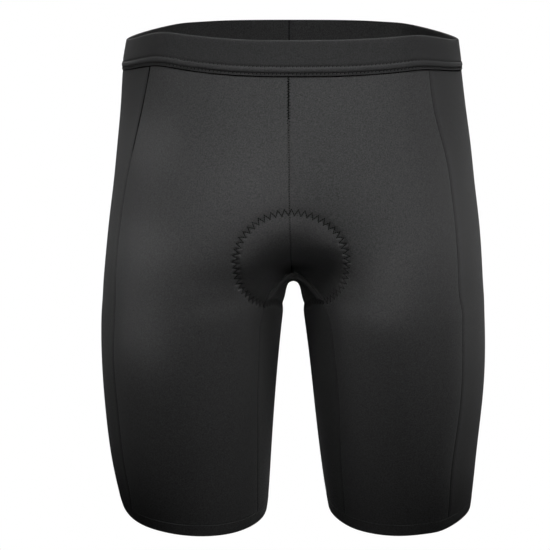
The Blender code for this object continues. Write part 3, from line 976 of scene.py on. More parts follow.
def cloth_shell(name, wall, material, shape=lambda rows: 0.0, ridge=0.0, lining=None):
    """A closed shell of cloth on one piece's faces of the garment, with its edges rolled in.

    Its shape is how proud it stands by its cage rows. It may rise in a ridge beside its seams, and have a
    lining, which is another material on its inside.
    """
    surface, relief = garment()
    used, faces, cells, halves = piece_patch(name)
    points = surface.points[used]
    normals = surface.normals[used]
    rows = np.zeros(len(used))
    edge_cells = {}
    for face, cell, half in zip(faces, cells, halves):
        rows[list(face)] = [row for _, row in cell]
        edge_cells.update((edge, (ends, half)) for edge, ends in zip(face_edges(face), face_edges(cell)))
    rim = [edge for edge in edge_cells if edge[::-1] not in edge_cells]
    edge, inward = edge_directions(points, normals, rim)
    rows_there = rows[edge]
    folds = (rows_there == 0) | (rows_there == LAST_ROW)
    lips = np.where(rows_there == HEM_ROW, HEM_LIP, np.where(rows_there == BAND_ROW, BAND_LIP, SEAM_LIP))
    insets, depths = edge_profile(folds, wall, lips)

    distance, nearest = near_points(points, points[edge])
    reach = clamp(1.0 - distance / EDGE_SHIFT_REACH)[:, None] * inward[nearest]
    upright = ~(folds | (rows_there == HEM_ROW) | (rows_there == BAND_ROW))[nearest]
    beside_seam = bell(distance - RIDGE_MIDDLE, RIDGE_WIDTH) * upright
    offset = relief[used] + shape(rows) + ridge * beside_seam
    outer = points + insets[0, nearest] * reach + offset[:, None] * normals
    inner = points + insets[-1, nearest] * reach + (offset - wall)[:, None] * normals

    layers = [outer]
    place = {int(corner): spot for spot, corner in enumerate(edge)}
    for inset, depth in zip(insets[1:-1], depths[1:-1]):
        layers.append(points[edge] + inset * inward + (offset[edge][:, None] - depth) * normals[edge])
    layers.append(inner)
    starts = np.cumsum([0] + [len(layer) for layer in layers])

    def corner_at(layer, corner):
        """Where a point of the rim is in a layer: the first and last layers are of the whole piece."""
        whole = layer in (0, len(layers) - 1)
        return int(starts[layer]) + (corner if whole else place[corner])

    all_faces = faces + [tuple(int(starts[-2]) + corner for corner in reversed(face)) for face in faces]
    cells += [cell[::-1] for cell in cells]
    halves += halves
    for start, end in rim:
        (start_cell, end_cell), half = edge_cells[start, end]
        for layer in range(len(layers) - 1):
            upper = (corner_at(layer, end), corner_at(layer, start))
            lower = (corner_at(layer + 1, start), corner_at(layer + 1, end))
            all_faces.append(upper + lower)
            cells.append((end_cell, start_cell, start_cell, end_cell))
            halves.append(half)
    item = add_mesh(name + "_cloth", np.concatenate(layers), all_faces, material)
    PIECES[name] = item
    if lining:
        item.data.materials.append(lining)
        inside = np.zeros(len(all_faces), dtype=np.int32)
        inside[len(faces) : 2 * len(faces)] = 1
        item.data.polygons.foreach_set("material_index", inside)
    set_knit_coordinates(item.data, cells, halves)
    return item


def set_knit_coordinates(mesh, cells, halves):
    corners, owners = flattened(cells)
    coordinates = np.empty(corners.shape)
    for half in SIDES.values():
        mine = np.array(halves)[owners] == half
        coordinates[mine] = knit_coordinates(corners[mine], half)
    mesh.uv_layers.new(name="knit").data.foreach_set("uv", coordinates.ravel())


def place_cloth(item, node):
    """Puts a finished shell in its solid's place and works out the flat size it was cut to."""
    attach(item, BODY)
    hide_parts(node)
    coordinates = read(item.data.uv_layers["knit"].data, "uv", 2)
    width, length = (np.ptp(coordinates, axis=0) * CUT_SHARES).tolist()
    area = 0.5 * sum(polygon.area for polygon in item.data.polygons) * np.prod(CUT_SHARES)
    area = min(area, width * length)


def waistband_shape(rows):
    """The band stands proud, with a soft roll between two grooves where its rows of stitches run."""
    height = band_heights(rows)
    share = clamp((height - LOWER_ROW) / (UPPER_ROW - LOWER_ROW))
    shape = BAND_PROUD + ROLL_HEIGHT * np.sin(np.pi * share)
    for row in (LOWER_ROW, UPPER_ROW):
        shape -= ROW_GROOVE * bell(height - row, ROW_GROOVE_WIDTH)
    return shape


# --- Stitches ---

# Pitches and widths of the seams' stitches. The centre front seam is oversewn with a close zigzag down to a
# height, and the painted shadow line of the deepest seams is laid in steps of the shadow pitch.
CENTRE_ZIGZAG_PITCH = 0.0026
CENTRE_ZIGZAG_WIDTH = 0.0018
CENTRE_ZIGZAG_END = -0.055
CENTRE_PITCH = 0.0040
SEAM_PITCH = 0.0048
SEAM_WAVER = 0.0004
SHADOW_PITCH = 0.0030
# The painted shadow line's radius, and how far its middle stands above the cloth.
SHADOW_RADIUS = 0.00055
SHADOW_LIFT = 0.0001
# Radius of the painted shadow line down the inside of the waistband's centre-back join.
JOIN_SHADOW_RADIUS = 0.0005
HOLE_LENGTH = 0.0008
# How much of its pitch a stitch of each kind covers, and the panel seams' thread beside the other seams'.
BAND_SHARE = 0.7
JOIN_SHADOW_SHARE = 1.1
CENTRE_SHARE = 0.8
SHADOW_SHARE = 1.15
SEAM_SHARE = 0.7
ZIGZAG_SHARE = 0.9
SEAM_THREAD = 0.8
# The seam allowances behind the seams.
ALLOWANCE_HALF_WIDTH = 0.0026
ALLOWANCE_WALL = 0.0009
ALLOWANCE_GAP = 0.0001
# How far off the cloth a needle point may lie.
LANDING_REACH = 0.012


def on_cloth(points, normals, tree):
    """Moves points on to the cloth's outer face, along their normals."""
    landed = points.copy()
    for number, (point, normal) in enumerate(zip(points, normals)):
        origin = Vector(point + LANDING_REACH * normal)
        hit = tree.ray_cast(origin, -Vector(normal), 2.0 * LANDING_REACH)[0]
        if hit is not None:
            landed[number] = hit
    return landed


@cache
def panel_tree():
    return cloth_tree([item for name, item in PIECES.items() if name.startswith(("front", "side", "back"))])


def joined(parts):
    """Points and faces of several parts as one."""
    points, faces = [], []
    for part_points, part_faces in parts:
        start = len(points)
        points += list(part_points)
        faces += [tuple(start + corner for corner in face) for face in part_faces]
    return points, faces


def cloth_tree(items):
    parts = []
    for item in items:
        points = [vertex.co.copy() for vertex in item.data.vertices]
        parts.append((points, [polygon.vertices for polygon in item.data.polygons]))
    return BVHTree.FromPolygons(*joined(parts))


def row_along(line, pitch, width=0.0, closed=False):
    """A row of stitches along a line of points and normals."""
    return *needle_points(*line, pitch, width, 1, closed), closed


def stitches_along(rows):
    """Starts, ends and normals of the stitches between the needle points of each row."""
    parts = []
    for points, normals, closed in rows:
        last = len(points) if closed else len(points) - 1
        parts.append((points[:last], np.roll(points, -1, axis=0)[:last], normals[:last]))
    return [np.concatenate(values) for values in zip(*parts)]


def needle_hole_shadows(rows):
    """Short near-black marks at each needle point, along its row: painted shadow in the needle holes."""
    parts = []
    for points, normals, closed in rows:
        half = 0.5 * HOLE_LENGTH * directions(points, closed)
        parts.append((points - half, points + half, normals))
    return [np.concatenate(values) for values in zip(*parts)]


def stitch_mesh(name, starts, ends, normals, tree, sunk):
    """A mesh of loose edges, one for each stitch, sunk this far into the tree's cloth, if there is one."""
    count = len(starts)
    both = np.concatenate([normals, normals])
    landed = np.concatenate([starts, ends])
    if tree:
        landed = on_cloth(landed, both, tree)
    landed = landed - sunk * both
    mesh = bpy.data.meshes.new(name)
    mesh.from_pydata([tuple(point) for point in landed], [(here, here + count) for here in range(count)], [])
    mesh.attributes.new("cloth_normal", "FLOAT_VECTOR", "POINT").data.foreach_set("vector", both.ravel())
    return add_object(name, mesh)


@cache
def stitch_tree():
    """Geometry nodes that lay a thread along every edge of a mesh."""
    inputs = {
        "Geometry": "Geometry",
        "Thread radius": 0.0003,
        "Thread flatness": 0.7,
        "Length share": 1.0,
        "Material": "Material",
    }
    tree, nodes, given = node_group("Stitches", "Geometry", inputs, {"Geometry": "Geometry"})
    ends = nodes.add("GeometryNodeInputMeshEdgeVertices").outputs
    normal = nodes.add("GeometryNodeInputNamedAttribute", data_type="FLOAT_VECTOR", Name="cloth_normal")
    capture = nodes.add("GeometryNodeCaptureAttribute", domain="EDGE", Geometry=given["Geometry"])
    for label in ("Direction", "Cloth normal"):
        capture.capture_items.new("VECTOR", label)
    along = nodes.vector("SUBTRACT", "Vector", {0: ends["Position 2"], 1: ends["Position 1"]})
    nodes.feed(capture, {"Direction": along, "Cloth normal": normal.outputs["Attribute"]})
    spots = nodes.out("GeometryNodeMeshToPoints", "Points", mode="EDGES", Mesh=capture.outputs["Geometry"])
    direction = capture.outputs["Direction"]
    length = nodes.vector("LENGTH", "Value", {0: direction})
    half_length = nodes.math("MULTIPLY", nodes.math("MULTIPLY", length, given["Length share"]), 0.5)
    flat = nodes.math("MULTIPLY", given["Thread radius"], given["Thread flatness"])
    scale = nodes.out("ShaderNodeCombineXYZ", "Vector", X=given["Thread radius"], Y=flat, Z=half_length)
    align = "FunctionNodeAlignRotationToVector"
    turn = nodes.out(align, "Rotation", axis="Z", Vector=direction)
    up = capture.outputs["Cloth normal"]
    turn = nodes.out(align, "Rotation", axis="Y", pivot_axis="Z", Rotation=turn, Vector=up)
    ball = nodes.out("GeometryNodeMeshUVSphere", "Mesh", Segments=6, Rings=5, Radius=1.0)
    threads = nodes.out(
        "GeometryNodeInstanceOnPoints", "Instances", Points=spots, Instance=ball, Rotation=turn, Scale=scale
    )
    whole = nodes.out("GeometryNodeRealizeInstances", "Geometry", Geometry=threads)
    smooth = nodes.out("GeometryNodeSetShadeSmooth", "Geometry", Geometry=whole)
    dressed = nodes.out("GeometryNodeSetMaterial", "Geometry", Geometry=smooth, Material=given["Material"])
    nodes.add("NodeGroupOutput", Geometry=dressed)
    return tree


def sew(name, stitches, tree, material, radius, length_share=1.0, sunk=0.0):
    """Stitches, given by their starts, ends and normals, as one plain mesh."""
    item = stitch_mesh(name, *stitches, tree, sunk)
    modifier = item.modifiers.new("stitches", "NODES")
    modifier.node_group = stitch_tree()
    values = {"Thread radius": radius, "Length share": length_share, "Material": material}
    for socket in stitch_tree().interface.items_tree:
        if socket.in_out == "INPUT" and socket.name in values:
            modifier[socket.identifier] = values[socket.name]
    mesh = bpy.data.meshes.new_from_object(evaluated(item))
    item.modifiers.clear()
    item.data = mesh
    mesh.name = name
    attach(item, BODY)
    return item


# --- Materials ---

# Columns of loops round the panel, and rows of them down it, in each metre.
WALES = 2200.0
COURSES = 1.2 * WALES
LOOP_DEPTH = 0.00006
# How far the roughness strays from yarn to yarn.
GLOSS_SPREAD = 0.08


class NodeMaker:
    """Adds nodes to a tree and links them by socket name."""

    def __init__(self, tree):
        self.tree = tree

    def feed(self, node, values):
        """Sets a node's inputs, or links them where the value is a socket."""
        for key, value in values.items():
            socket = node.inputs[key.replace("_", " ") if isinstance(key, str) else key]
            if isinstance(value, bpy.types.NodeSocket):
                self.tree.links.new(value, socket)
            else:
                socket.default_value = value

    def add(self, kind, numbered=None, **values):
        node = self.tree.nodes.new(kind)
        for key in [key for key in values if hasattr(node, key)]:
            setattr(node, key, values.pop(key))
        self.feed(node, {**values, **(numbered or {})})
        return node

    def out(self, kind, output, numbered=None, **values):
        return self.add(kind, numbered, **values).outputs[output]

    def math(self, operation, *values):
        return self.out("ShaderNodeMath", "Value", dict(enumerate(values)), operation=operation)

    def vector(self, operation, output, values):
        return self.out("ShaderNodeVectorMath", output, values, operation=operation)


def node_group(name, kind, inputs, outputs):
    """An empty node group and what it is given. Each socket has its type here, or a number as its value."""
    tree = bpy.data.node_groups.new(name, kind + "NodeTree")
    for way, sockets in (("INPUT", inputs), ("OUTPUT", outputs)):
        for label, value in sockets.items():
            kind = value if isinstance(value, str) else "Float"
            socket = tree.interface.new_socket(label, in_out=way, socket_type="NodeSocket" + kind)
            if value != kind:
                socket.default_value = value
    nodes = NodeMaker(tree)
    return tree, nodes, nodes.add("NodeGroupInput").outputs


@cache
def knit_group():
    """Columns of small loops, as a jersey knit has: a height from 0 to 1."""
    inputs = {"Coordinates": "Vector", "Wales per metre": WALES, "Courses per metre": COURSES, "Slant": 0.9}
    tree, nodes, given = node_group("Jersey Loops", "Shader", inputs, {"Height": "Float"})
    split = nodes.add("ShaderNodeSeparateXYZ", Vector=given["Coordinates"]).outputs
    wales = nodes.math("MULTIPLY", split["X"], given["Wales per metre"])
    courses = nodes.math("MULTIPLY", split["Y"], given["Courses per metre"])
    within = nodes.math("PINGPONG", wales, 0.5)
    leaned = nodes.math("MULTIPLY_ADD", within, given["Slant"], courses)
    wave = nodes.math("SINE", nodes.math("MULTIPLY", leaned, 2.0 * np.pi))
    loops = nodes.math("MULTIPLY_ADD", wave, 0.3, 0.7)
    ridge = nodes.math("SINE", nodes.math("MULTIPLY", within, 2.0 * np.pi))
    nodes.add("NodeGroupOutput", Height=nodes.math("MULTIPLY", ridge, loops))
    return tree


@cache
def melange_group():
    """Small differences of shade and gloss from yarn to yarn and over the cloth."""
    inputs = {
        "Position": "Vector",
        "Speck size": 0.0010,
        "Speck strength": 1.7,
        "Patch size": 0.06,
        "Patch strength": 0.1,
    }
    outputs = {"Shade": "Float", "Speck": "Float"}
    tree, nodes, given = node_group("Yarn Variation", "Shader", inputs, outputs)
    noises, shades = [], []
    for kind, detail in (("Speck", 2.0), ("Patch", 3.0)):
        scale = nodes.math("DIVIDE", 1.0, given[kind + " size"])
        noise = nodes.out("ShaderNodeTexNoise", "Fac", Vector=given["Position"], Scale=scale, Detail=detail)
        noises.append(noise)
        shades.append(nodes.math("MULTIPLY", nodes.math("SUBTRACT", noise, 0.5), given[kind + " strength"]))
    shade = nodes.math("ADD", nodes.math("ADD", *shades), 1.0)
    nodes.add("NodeGroupOutput", Shade=shade, Speck=noises[0])
    return tree


def new_material(name):
    """A material with a maker of its nodes and its shader."""
    material = bpy.data.materials.new(name)
    material.use_nodes = True
    return material, NodeMaker(material.node_tree), material.node_tree.nodes["Principled BSDF"]


def yarn_colour(nodes, place, colour, **settings):
    """A colour that varies as yarn does, and the flecks of the yarn."""
    settings.update(node_tree=melange_group(), Position=place["Object"])
    yarn = nodes.add("ShaderNodeGroup", **settings).outputs
    tint = nodes.vector("SCALE", "Vector", {0: (*colour,), "Scale": yarn["Shade"]})
    return tint, yarn["Speck"]


def knit_material(name, colour, roughness=0.68, sheen=0.06):
    """Stretch knit: fine loops with painted shade in their valleys, a little difference of shade from yarn to
    yarn, and a soft sheen.
    """
    material, nodes, shader = new_material(name)
    place = nodes.add("ShaderNodeTexCoord").outputs
    loops = nodes.out("ShaderNodeGroup", "Height", node_tree=knit_group(), Coordinates=place["UV"])
    tint, speck = yarn_colour(nodes, place, colour)
    # Darker in the valleys between the loops and a little lighter on their tops: painted shade and highlight
    # of the knit's relief.
    valley_shade = nodes.out("ShaderNodeMapRange", "Result", Value=loops, To_Min=0.8, To_Max=1.05)
    low, high = roughness - GLOSS_SPREAD, roughness + GLOSS_SPREAD
    specks = nodes.out("ShaderNodeBump", "Normal", Height=speck, Strength=0.6, Distance=0.00025)
    look = {
        "Base Color": nodes.vector("SCALE", "Vector", {0: tint, "Scale": valley_shade}),
        "Roughness": nodes.out("ShaderNodeMapRange", "Result", Value=speck, To_Min=low, To_Max=high),
        "Normal": nodes.out(
            "ShaderNodeBump", "Normal", Height=loops, Normal=specks, Strength=0.7, Distance=LOOP_DEPTH
        ),
        "Specular IOR Level": 0.15,
        "Sheen Weight": sheen,
        "Sheen Roughness": 0.45,
    }
    nodes.feed(shader, look)
    return material


def thread_material(name, colour, roughness=0.55, gloss=0.3):
    """Twisted sewing thread, a little glossier than the knit."""
    material, nodes, shader = new_material(name)
    place = nodes.add("ShaderNodeTexCoord").outputs
    tint, speck = yarn_colour(nodes, place, colour, Speck_size=0.0004)
    twist = nodes.out("ShaderNodeBump", "Normal", Height=speck, Strength=0.5, Distance=0.0001)
    look = {"Base Color": tint, "Normal": twist, "Roughness": roughness, "Specular IOR Level": gloss}
    nodes.feed(shader, look)
    return material


# --- Settings ---


def length_property(name, description, default):
    settings = {"min": 0.0, "precision": 4, "unit": "LENGTH"}
    return FloatProperty(name=name, description=description, default=default, **settings)


def colour_property(name, description, default):
    settings = {"min": 0.0, "max": 1.0, "size": 3, "subtype": "COLOR"}
    return FloatVectorProperty(name=name, description=description, default=default, **settings)


class ShortsSizes(bpy.types.PropertyGroup):
    """Sizes of the shorts' cloth and thread."""

    panel_wall: length_property("Panel wall", "Thickness of a single layer of knit", 0.0013)
    band_wall: length_property("Waistband wall", "Thickness of the folded waistband", 0.0026)
    hem_wall: length_property("Hem wall", "Thickness of the folded hem bands", 0.0020)
    thread_radius: length_property("Thread radius", "Half the width of the sewing thread", 0.00032)
    hole_radius: length_property("Needle hole radius", "Half the width of a needle hole", 0.00052)
    pad_foam: length_property("Pad thickness", "Thickness of the seat pad at its middle", 0.0060)
    pad_edge: length_property("Pad edge", "Thickness of the seat pad at its stitched edge", 0.0016)


class ShortsColours(bpy.types.PropertyGroup):
    """Colours of the shorts' cloth and thread."""

    panel: colour_property("Panels", "Front and back panels", (0.042, 0.042, 0.0425))
    side: colour_property("Side panels", "Narrow panels down the outside", (0.034, 0.034, 0.0345))
    band: colour_property("Waistband", "Outside of the waistband", (0.026, 0.026, 0.0265))
    lining: colour_property("Waistband lining", "Inside of the waistband", (0.052, 0.052, 0.0525))
    hem: colour_property("Hem bands", "Folded bands round the legs", (0.040, 0.040, 0.0405))
    thread: colour_property("Thread", "Sewing thread", (0.022, 0.022, 0.022))
    # The zigzag thread is darker than the other thread so that it also carries its groove's shade: real
    # thread and painted shade.
    zigzag: colour_property("Zigzag thread", "Thread of the zigzag round the pad", (0.012, 0.012, 0.012))
    # The needle holes' colour is a near-black painted shadow, also used for the deepest seams and the
    # waistband's join.
    hole: colour_property("Needle holes", "Shadow in the needle holes", (0.001, 0.001, 0.001))
    pad: colour_property("Seat pad", "Brushed cloth of the seat pad", (0.055, 0.055, 0.058))


# --- Pieces ---


def sizes():
    return bpy.context.scene.shorts_sizes


def colours():
    return bpy.context.scene.shorts_colours


@cache
def sewing_thread():
    return thread_material("sewing_thread", colours().thread)


# Near-black, matt thread for the zigzag: real thread, and painted shade of the groove it lies in.
@cache
def zigzag_thread_and_shadow():
    return thread_material("zigzag_thread_and_shadow", colours().zigzag, 0.8, 0.1)


# A near-black painted shadow for the needle holes, the deepest seams and the waistband's join.
def needle_shadow():
    return thread_material("needle_shadow", colours().hole, 0.9, 0.0)


class SHORTS_OT_waistband(bpy.types.Operator):
    """Make the folded waistband with its roll and its two rows of stitches"""

    bl_idname = "shorts.waistband"
    bl_label = "Waistband"

    def execute(self, context):
        cloth = knit_material("band_knit", colours().band)
        lining = knit_material("band_lining", colours().lining)
        wall = sizes().band_wall
        band = cloth_shell("waistband", wall, cloth, waistband_shape, lining=lining)
        tree = cloth_tree([band])
        sewn = sew_rows("waistband", band_rows(), tree, BAND_SHARE)
        # A near-black line of painted shadow runs down the inside of the band's centre-back join.
        points, normals = down_line(-1, COLUMNS, 0, BAND_ROW)
        join = stitches_along([row_along((points - (wall - BAND_PROUD) * normals, -normals), SHADOW_PITCH)])
        sewn.append(sew("waistband_join_shadow", join, tree, needle_shadow(), JOIN_SHADOW_RADIUS, JOIN_SHADOW_SHARE))
        place_cloth(band, "waistband")
        return {"FINISHED"}


class SHORTS_OT_panels(bpy.types.Operator):
    """Make the front, side and back panels of both halves"""

    bl_idname = "shorts.panels"
    bl_label = "Panels"

    def execute(self, context):
        panel = knit_material("panel_knit", colours().panel)
        side = knit_material("side_knit", colours().side)
        for part, material, slot_name, ridge in (
            ("front", panel, "panel_knit", 0.0),
            ("side", side, "side_knit", SIDE_RIDGE),
            ("back", panel, "panel_knit", BACK_RIDGE),
        ):
            for half in SIDES:
                name = f"{part}_{half}"
                item = cloth_shell(name, sizes().panel_wall, material, ridge=ridge)
                place_cloth(item, name)
        return {"FINISHED"}


class SHORTS_OT_hems(bpy.types.Operator):
    """Make the folded band round each leg opening"""

    bl_idname = "shorts.hems"
    bl_label = "Hem bands"

    def execute(self, context):
        material = knit_material("hem_knit", colours().hem)
        for half in SIDES:
            name = f"hem_{half}"
            item = cloth_shell(name, sizes().hem_wall, material, lambda rows: HEM_PROUD, HEM_RIDGE)
            place_cloth(item, name)
        return {"FINISHED"}


def sew_rows(name, rows, tree, length_share, thread=None):
    """The threads of rows of stitches, and painted shadow marks in their needle holes."""
    radius = (ZIGZAG_THREAD if thread else 1.0) * sizes().thread_radius
    thread = thread or sewing_thread()
    rise, shadow = -0.5 * radius, needle_shadow()
    return [
        sew(name + "_stitches", stitches_along(rows), tree, thread, radius, length_share, rise),
        sew(name + "_holes", needle_hole_shadows(rows), tree, shadow, sizes().hole_radius),
    ]


def ribbon(points, normals, half_width, near, far):
    """Corners and faces of a flat strip along a line, between two depths below it."""
    across = np.cross(normals, directions(points, False)) * half_width
    corners = ((-1, near), (1, near), (1, far), (-1, far))
    layers = [points + side * across - depth * normals for side, depth in corners]
    count = len(points)
    faces = [
        (here + count * a, here + count * b, here + 1 + count * b, here + 1 + count * a)
        for here in range(count - 1)
        for a, b in ((0, 1), (1, 2), (2, 3), (3, 0))
    ]
    ends = [(0, 3 * count, 2 * count, count), tuple(count - 1 + count * layer for layer in range(4))]
    return np.concatenate(layers), faces + ends


def seam_lines(line):
    """Every seam between two panels as points and normals: the centre seam first, from the front."""
    lines = [*centre_lines(BAND_ROW, line)]
    for half in SIDES.values():
        for column in (FRONT_COLUMNS, FRONT_COLUMNS + SIDE_COLUMNS):
            lines.append(down_line(half, column, BAND_ROW, HEM_ROW, line))
        lines.append(down_line(half, 0, CROTCH_ROW, HEM_ROW, line))
    return lines


class SHORTS_OT_seams(bpy.types.Operator):
    """Sew the panels together along their seams"""

    bl_idname = "shorts.seams"
    bl_label = "Seam stitches"

    def execute(self, context):
        tree = panel_tree()
        (points, normals), *others = seam_lines(line_points)
        upper = points[:, 2] > CENTRE_ZIGZAG_END
        rows = [
            row_along((points[upper], normals[upper]), CENTRE_ZIGZAG_PITCH, CENTRE_ZIGZAG_WIDTH),
            row_along((points[~upper], normals[~upper]), CENTRE_PITCH, SEAM_WAVER),
        ]
        sew_rows("centre_seam", rows, tree, CENTRE_SHARE)
        # Near-black lines of painted shadow are laid in the deepest seams and round the foot of the
        # waistband.
        deep = [(FRONT_COLUMNS, 2), (0, 1)]
        lines = [down_line(-1, column, BAND_ROW, BAND_ROW + length, cloth_line) for column, length in deep]
        rows = [row_along(line, SHADOW_PITCH) for line in lines]
        rows.append(row_along(waist_ring(BAND_ROW), SHADOW_PITCH, closed=True))
        shadows, shadow = stitches_along(rows), needle_shadow()
        sew("seam_shadows", shadows, None, shadow, SHADOW_RADIUS, SHADOW_SHARE, -SHADOW_LIFT)
        stitches = stitches_along([row_along(line, SEAM_PITCH, SEAM_WAVER) for line in others])
        radius = SEAM_THREAD * sizes().thread_radius
        sew("seam_stitches", stitches, tree, sewing_thread(), radius, SEAM_SHARE)

        near = sizes().panel_wall + ALLOWANCE_GAP
        depths = near, near + ALLOWANCE_WALL
        strips = [ribbon(*line, ALLOWANCE_HALF_WIDTH, *depths) for line in seam_lines(cloth_line)]
        cloth = knit_material("allowance_knit", colours().side)
        item = add_mesh("seam_allowances", *joined(strips), cloth)
        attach(item, BODY)
        return {"FINISHED"}


class SHORTS_OT_pad(bpy.types.Operator):
    """Make the seat pad and the zigzag that holds its edge"""

    bl_idname = "shorts.pad"
    bl_label = "Seat pad"

    def execute(self, context):
        points, normals, depths, faces = pad_patch()
        wall = sizes().pad_edge + (sizes().pad_foam - sizes().pad_edge) * ease(depths / PAD_SLOPE)
        start = PAD_INSET - pad_swell(normals, depths)
        # Only the front of the pad is drawn back, with the cloth over it.
        drawn = pad_hollow(points, depths) * clamp(-FRONT_STEEPNESS * normals[:, 1] - FRONT_START)
        outer = points + drawn[:, None] * (0.0, 1.0, 0.0) - start[:, None] * normals
        inner = outer - wall[:, None] * normals
        count = len(points)
        rim = [(end, begin, begin + count, end + count) for begin, end in boundary_edges(faces)]
        lining = [tuple(corner + count for corner in reversed(face)) for face in faces]
        cloth = knit_material("pad_cloth", colours().pad, 0.85, 0.4)
        pad = add_mesh("seat_pad", np.concatenate([outer, inner]), faces + lining + rim, cloth)
        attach(pad, BODY)
        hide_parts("pad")
        rows = [(*zigzag_needles(), True)]
        sew_rows("pad_zigzag", rows, panel_tree(), ZIGZAG_SHARE, zigzag_thread_and_shadow())
        return {"FINISHED"}


class SHORTS_OT_stage(bpy.types.Operator):
    """Set the pale floor, the studio lights and the camera"""

    bl_idname = "shorts.stage"
    bl_label = "Stage"

    def execute(self, context):
        build_stage(context.scene)
        return {"FINISHED"}


# Soft lamps with grids, each placed round its target: an azimuth from the front towards the wearer's left,
# an elevation, the target, the angle of its beam, its power and its size. The wide beams meet on the hips and
# fade down the legs, and the narrow ones at the end pick out the thighs and the middle of the front.
LAMP_SIZE = 0.30
Lamp = namedtuple("Lamp", "name azimuth elevation target spread power size", defaults=(LAMP_SIZE,))
LAMPS = (
    Lamp("left_high", 30, 65, (0.03, -0.10, -0.06), 30, 0.390),
    Lamp("right_high", -30, 65, (-0.03, -0.10, -0.06), 30, 0.030),
    Lamp("front_high", 0, 58, (0.0, -0.08, -0.10), 16, 0.048),
    Lamp("front_low", 0, 20, (0.0, -0.08, -0.10), 16, 0.070),
    Lamp("left_front_high", 25, 40, (0.10, -0.08, -0.10), 16, 0.044),
    Lamp("left_front", 25, 20, (0.10, -0.08, -0.10), 16, 0.022),
    Lamp("left_side", 75, 40, (0.10, -0.08, -0.10), 16, 0.033),
    Lamp("left_edge", 130, 5, (0.12, 0.0, -0.28), 18, 0.024),
    Lamp("left_outside", 90, 0, (-0.03, -0.03, -0.22), 8, 0.060),
    Lamp("right_outside", -90, 0, (0.03, -0.03, -0.22), 8, 0.036),
    Lamp("right_middle", 0, 40, (-0.08, -0.08, -0.08), 14, 0.018),
    Lamp("right_front_high", -25, 58, (-0.10, -0.08, -0.10), 16, 0.064),
    Lamp("right_side", -75, 40, (-0.10, -0.08, -0.10), 16, 0.090),
    Lamp("back_left", 150, 30, (0.05, 0.08, -0.16), 40, 0.28),
    Lamp("back_right", -150, 30, (-0.05, 0.08, -0.16), 40, 0.28),
    Lamp("left_thigh", 0, 20, (0.075, -0.09, -0.192), 4, 0.0034, 0.04),
    Lamp("right_hip", -20, 15, (-0.116, -0.07, -0.075), 5, 0.0044, 0.04),
    Lamp("right_thigh", -25, 15, (-0.125, -0.07, -0.160), 5, 0.0034, 0.04),
    Lamp("right_knee", -25, 15, (-0.120, -0.07, -0.232), 5, 0.0038, 0.04),
    Lamp("front_middle", -5, 25, (-0.032, -0.10, -0.108), 5, 0.0052, 0.06),
)
LAMP_DISTANCE = 1.0
WORLD_LEVEL = 0.005
FLOOR_DROP = 1.0
FLOOR_REACH = 6.0
CAMERA_PLACE = (0.0, -1.45, 0.1347)
CAMERA_PITCH = 77.0
CAMERA_LENS = 110.2
CAMERA_SHIFT = -0.0318


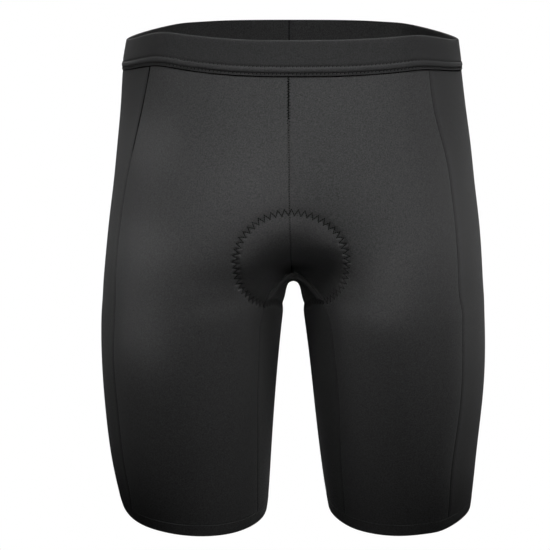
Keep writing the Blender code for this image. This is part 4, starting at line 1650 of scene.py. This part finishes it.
def build_stage(scene):
    scene.view_settings.view_transform = "Standard"
    material, nodes, shader = new_material("pale_floor")
    nodes.feed(shader, {"Base Color": (0.3, 0.3, 0.3, 1.0), "Roughness": 0.9})
    seen = nodes.out("ShaderNodeLightPath", "Is Camera Ray")
    white = nodes.out("ShaderNodeEmission", "Emission", Strength=1.0)
    mixed = nodes.out("ShaderNodeMixShader", "Shader", {0: seen, 1: shader.outputs["BSDF"], 2: white})
    nodes.feed(material.node_tree.nodes["Material Output"], {"Surface": mixed})
    sides = ((-1, -1), (1, -1), (1, 1), (-1, 1))
    corners = [(x * FLOOR_REACH, y * FLOOR_REACH, -FLOOR_DROP) for x, y in sides]
    add_mesh("floor", corners, [(0, 1, 2, 3)], material)

    world = bpy.data.worlds.new("studio")
    world.use_nodes = True
    scene.world = world
    nodes = NodeMaker(world.node_tree)
    seen = nodes.out("ShaderNodeLightPath", "Is Camera Ray")
    level = nodes.out("ShaderNodeMapRange", "Result", Value=seen, To_Min=WORLD_LEVEL, To_Max=1.0)
    nodes.feed(world.node_tree.nodes["Background"], {"Color": (1.0, 1.0, 1.0, 1.0), "Strength": level})

    for lamp in LAMPS:
        light = bpy.data.lights.new(lamp.name, "AREA")
        light.size = lamp.size
        light.spread = np.radians(lamp.spread)
        light.energy = lamp.power
        azimuth, elevation = np.radians([lamp.azimuth, lamp.elevation])
        level = np.cos(elevation)
        away = Vector((np.sin(azimuth) * level, -np.cos(azimuth) * level, np.sin(elevation)))
        item = add_object(lamp.name, light)
        item.location = Vector(lamp.target) + LAMP_DISTANCE * away
        item.rotation_euler = away.to_track_quat("Z", "Y").to_euler()

    camera = bpy.data.cameras.new("camera")
    camera.lens = CAMERA_LENS
    camera.shift_x = CAMERA_SHIFT
    scene.camera = add_object("camera", camera)
    scene.camera.location = CAMERA_PLACE
    scene.camera.rotation_euler = (np.radians(CAMERA_PITCH), 0.0, 0.0)


class SHORTS_PT_panel(bpy.types.Panel):
    """The shorts' settings and pieces"""

    bl_idname = "SHORTS_PT_panel"
    bl_label = "Triathlon Shorts"
    bl_space_type = "VIEW_3D"
    bl_region_type = "UI"
    bl_category = "Shorts"

    def draw(self, context):
        for settings in (context.scene.shorts_sizes, context.scene.shorts_colours):
            for name in settings.__annotations__:
                self.layout.prop(settings, name)
        for operator in OPERATORS:
            self.layout.operator(operator.bl_idname)


OPERATORS = (
    SHORTS_OT_waistband,
    SHORTS_OT_panels,
    SHORTS_OT_hems,
    SHORTS_OT_seams,
    SHORTS_OT_pad,
    SHORTS_OT_stage,
)
CLASSES = (ShortsSizes, ShortsColours, *OPERATORS, SHORTS_PT_panel)


def register():
    for item in CLASSES:
        bpy.utils.register_class(item)
    bpy.types.Scene.shorts_sizes = PointerProperty(type=ShortsSizes)
    bpy.types.Scene.shorts_colours = PointerProperty(type=ShortsColours)


def unregister():
    del bpy.types.Scene.shorts_colours
    del bpy.types.Scene.shorts_sizes
    for item in reversed(CLASSES):
        bpy.utils.unregister_class(item)


def main():
    register()
    bpy.ops.shorts.waistband()
    bpy.ops.shorts.panels()
    bpy.ops.shorts.hems()
    bpy.ops.shorts.seams()
    bpy.ops.shorts.pad()
    bpy.ops.shorts.stage()


if __name__ == "__main__":
    main()
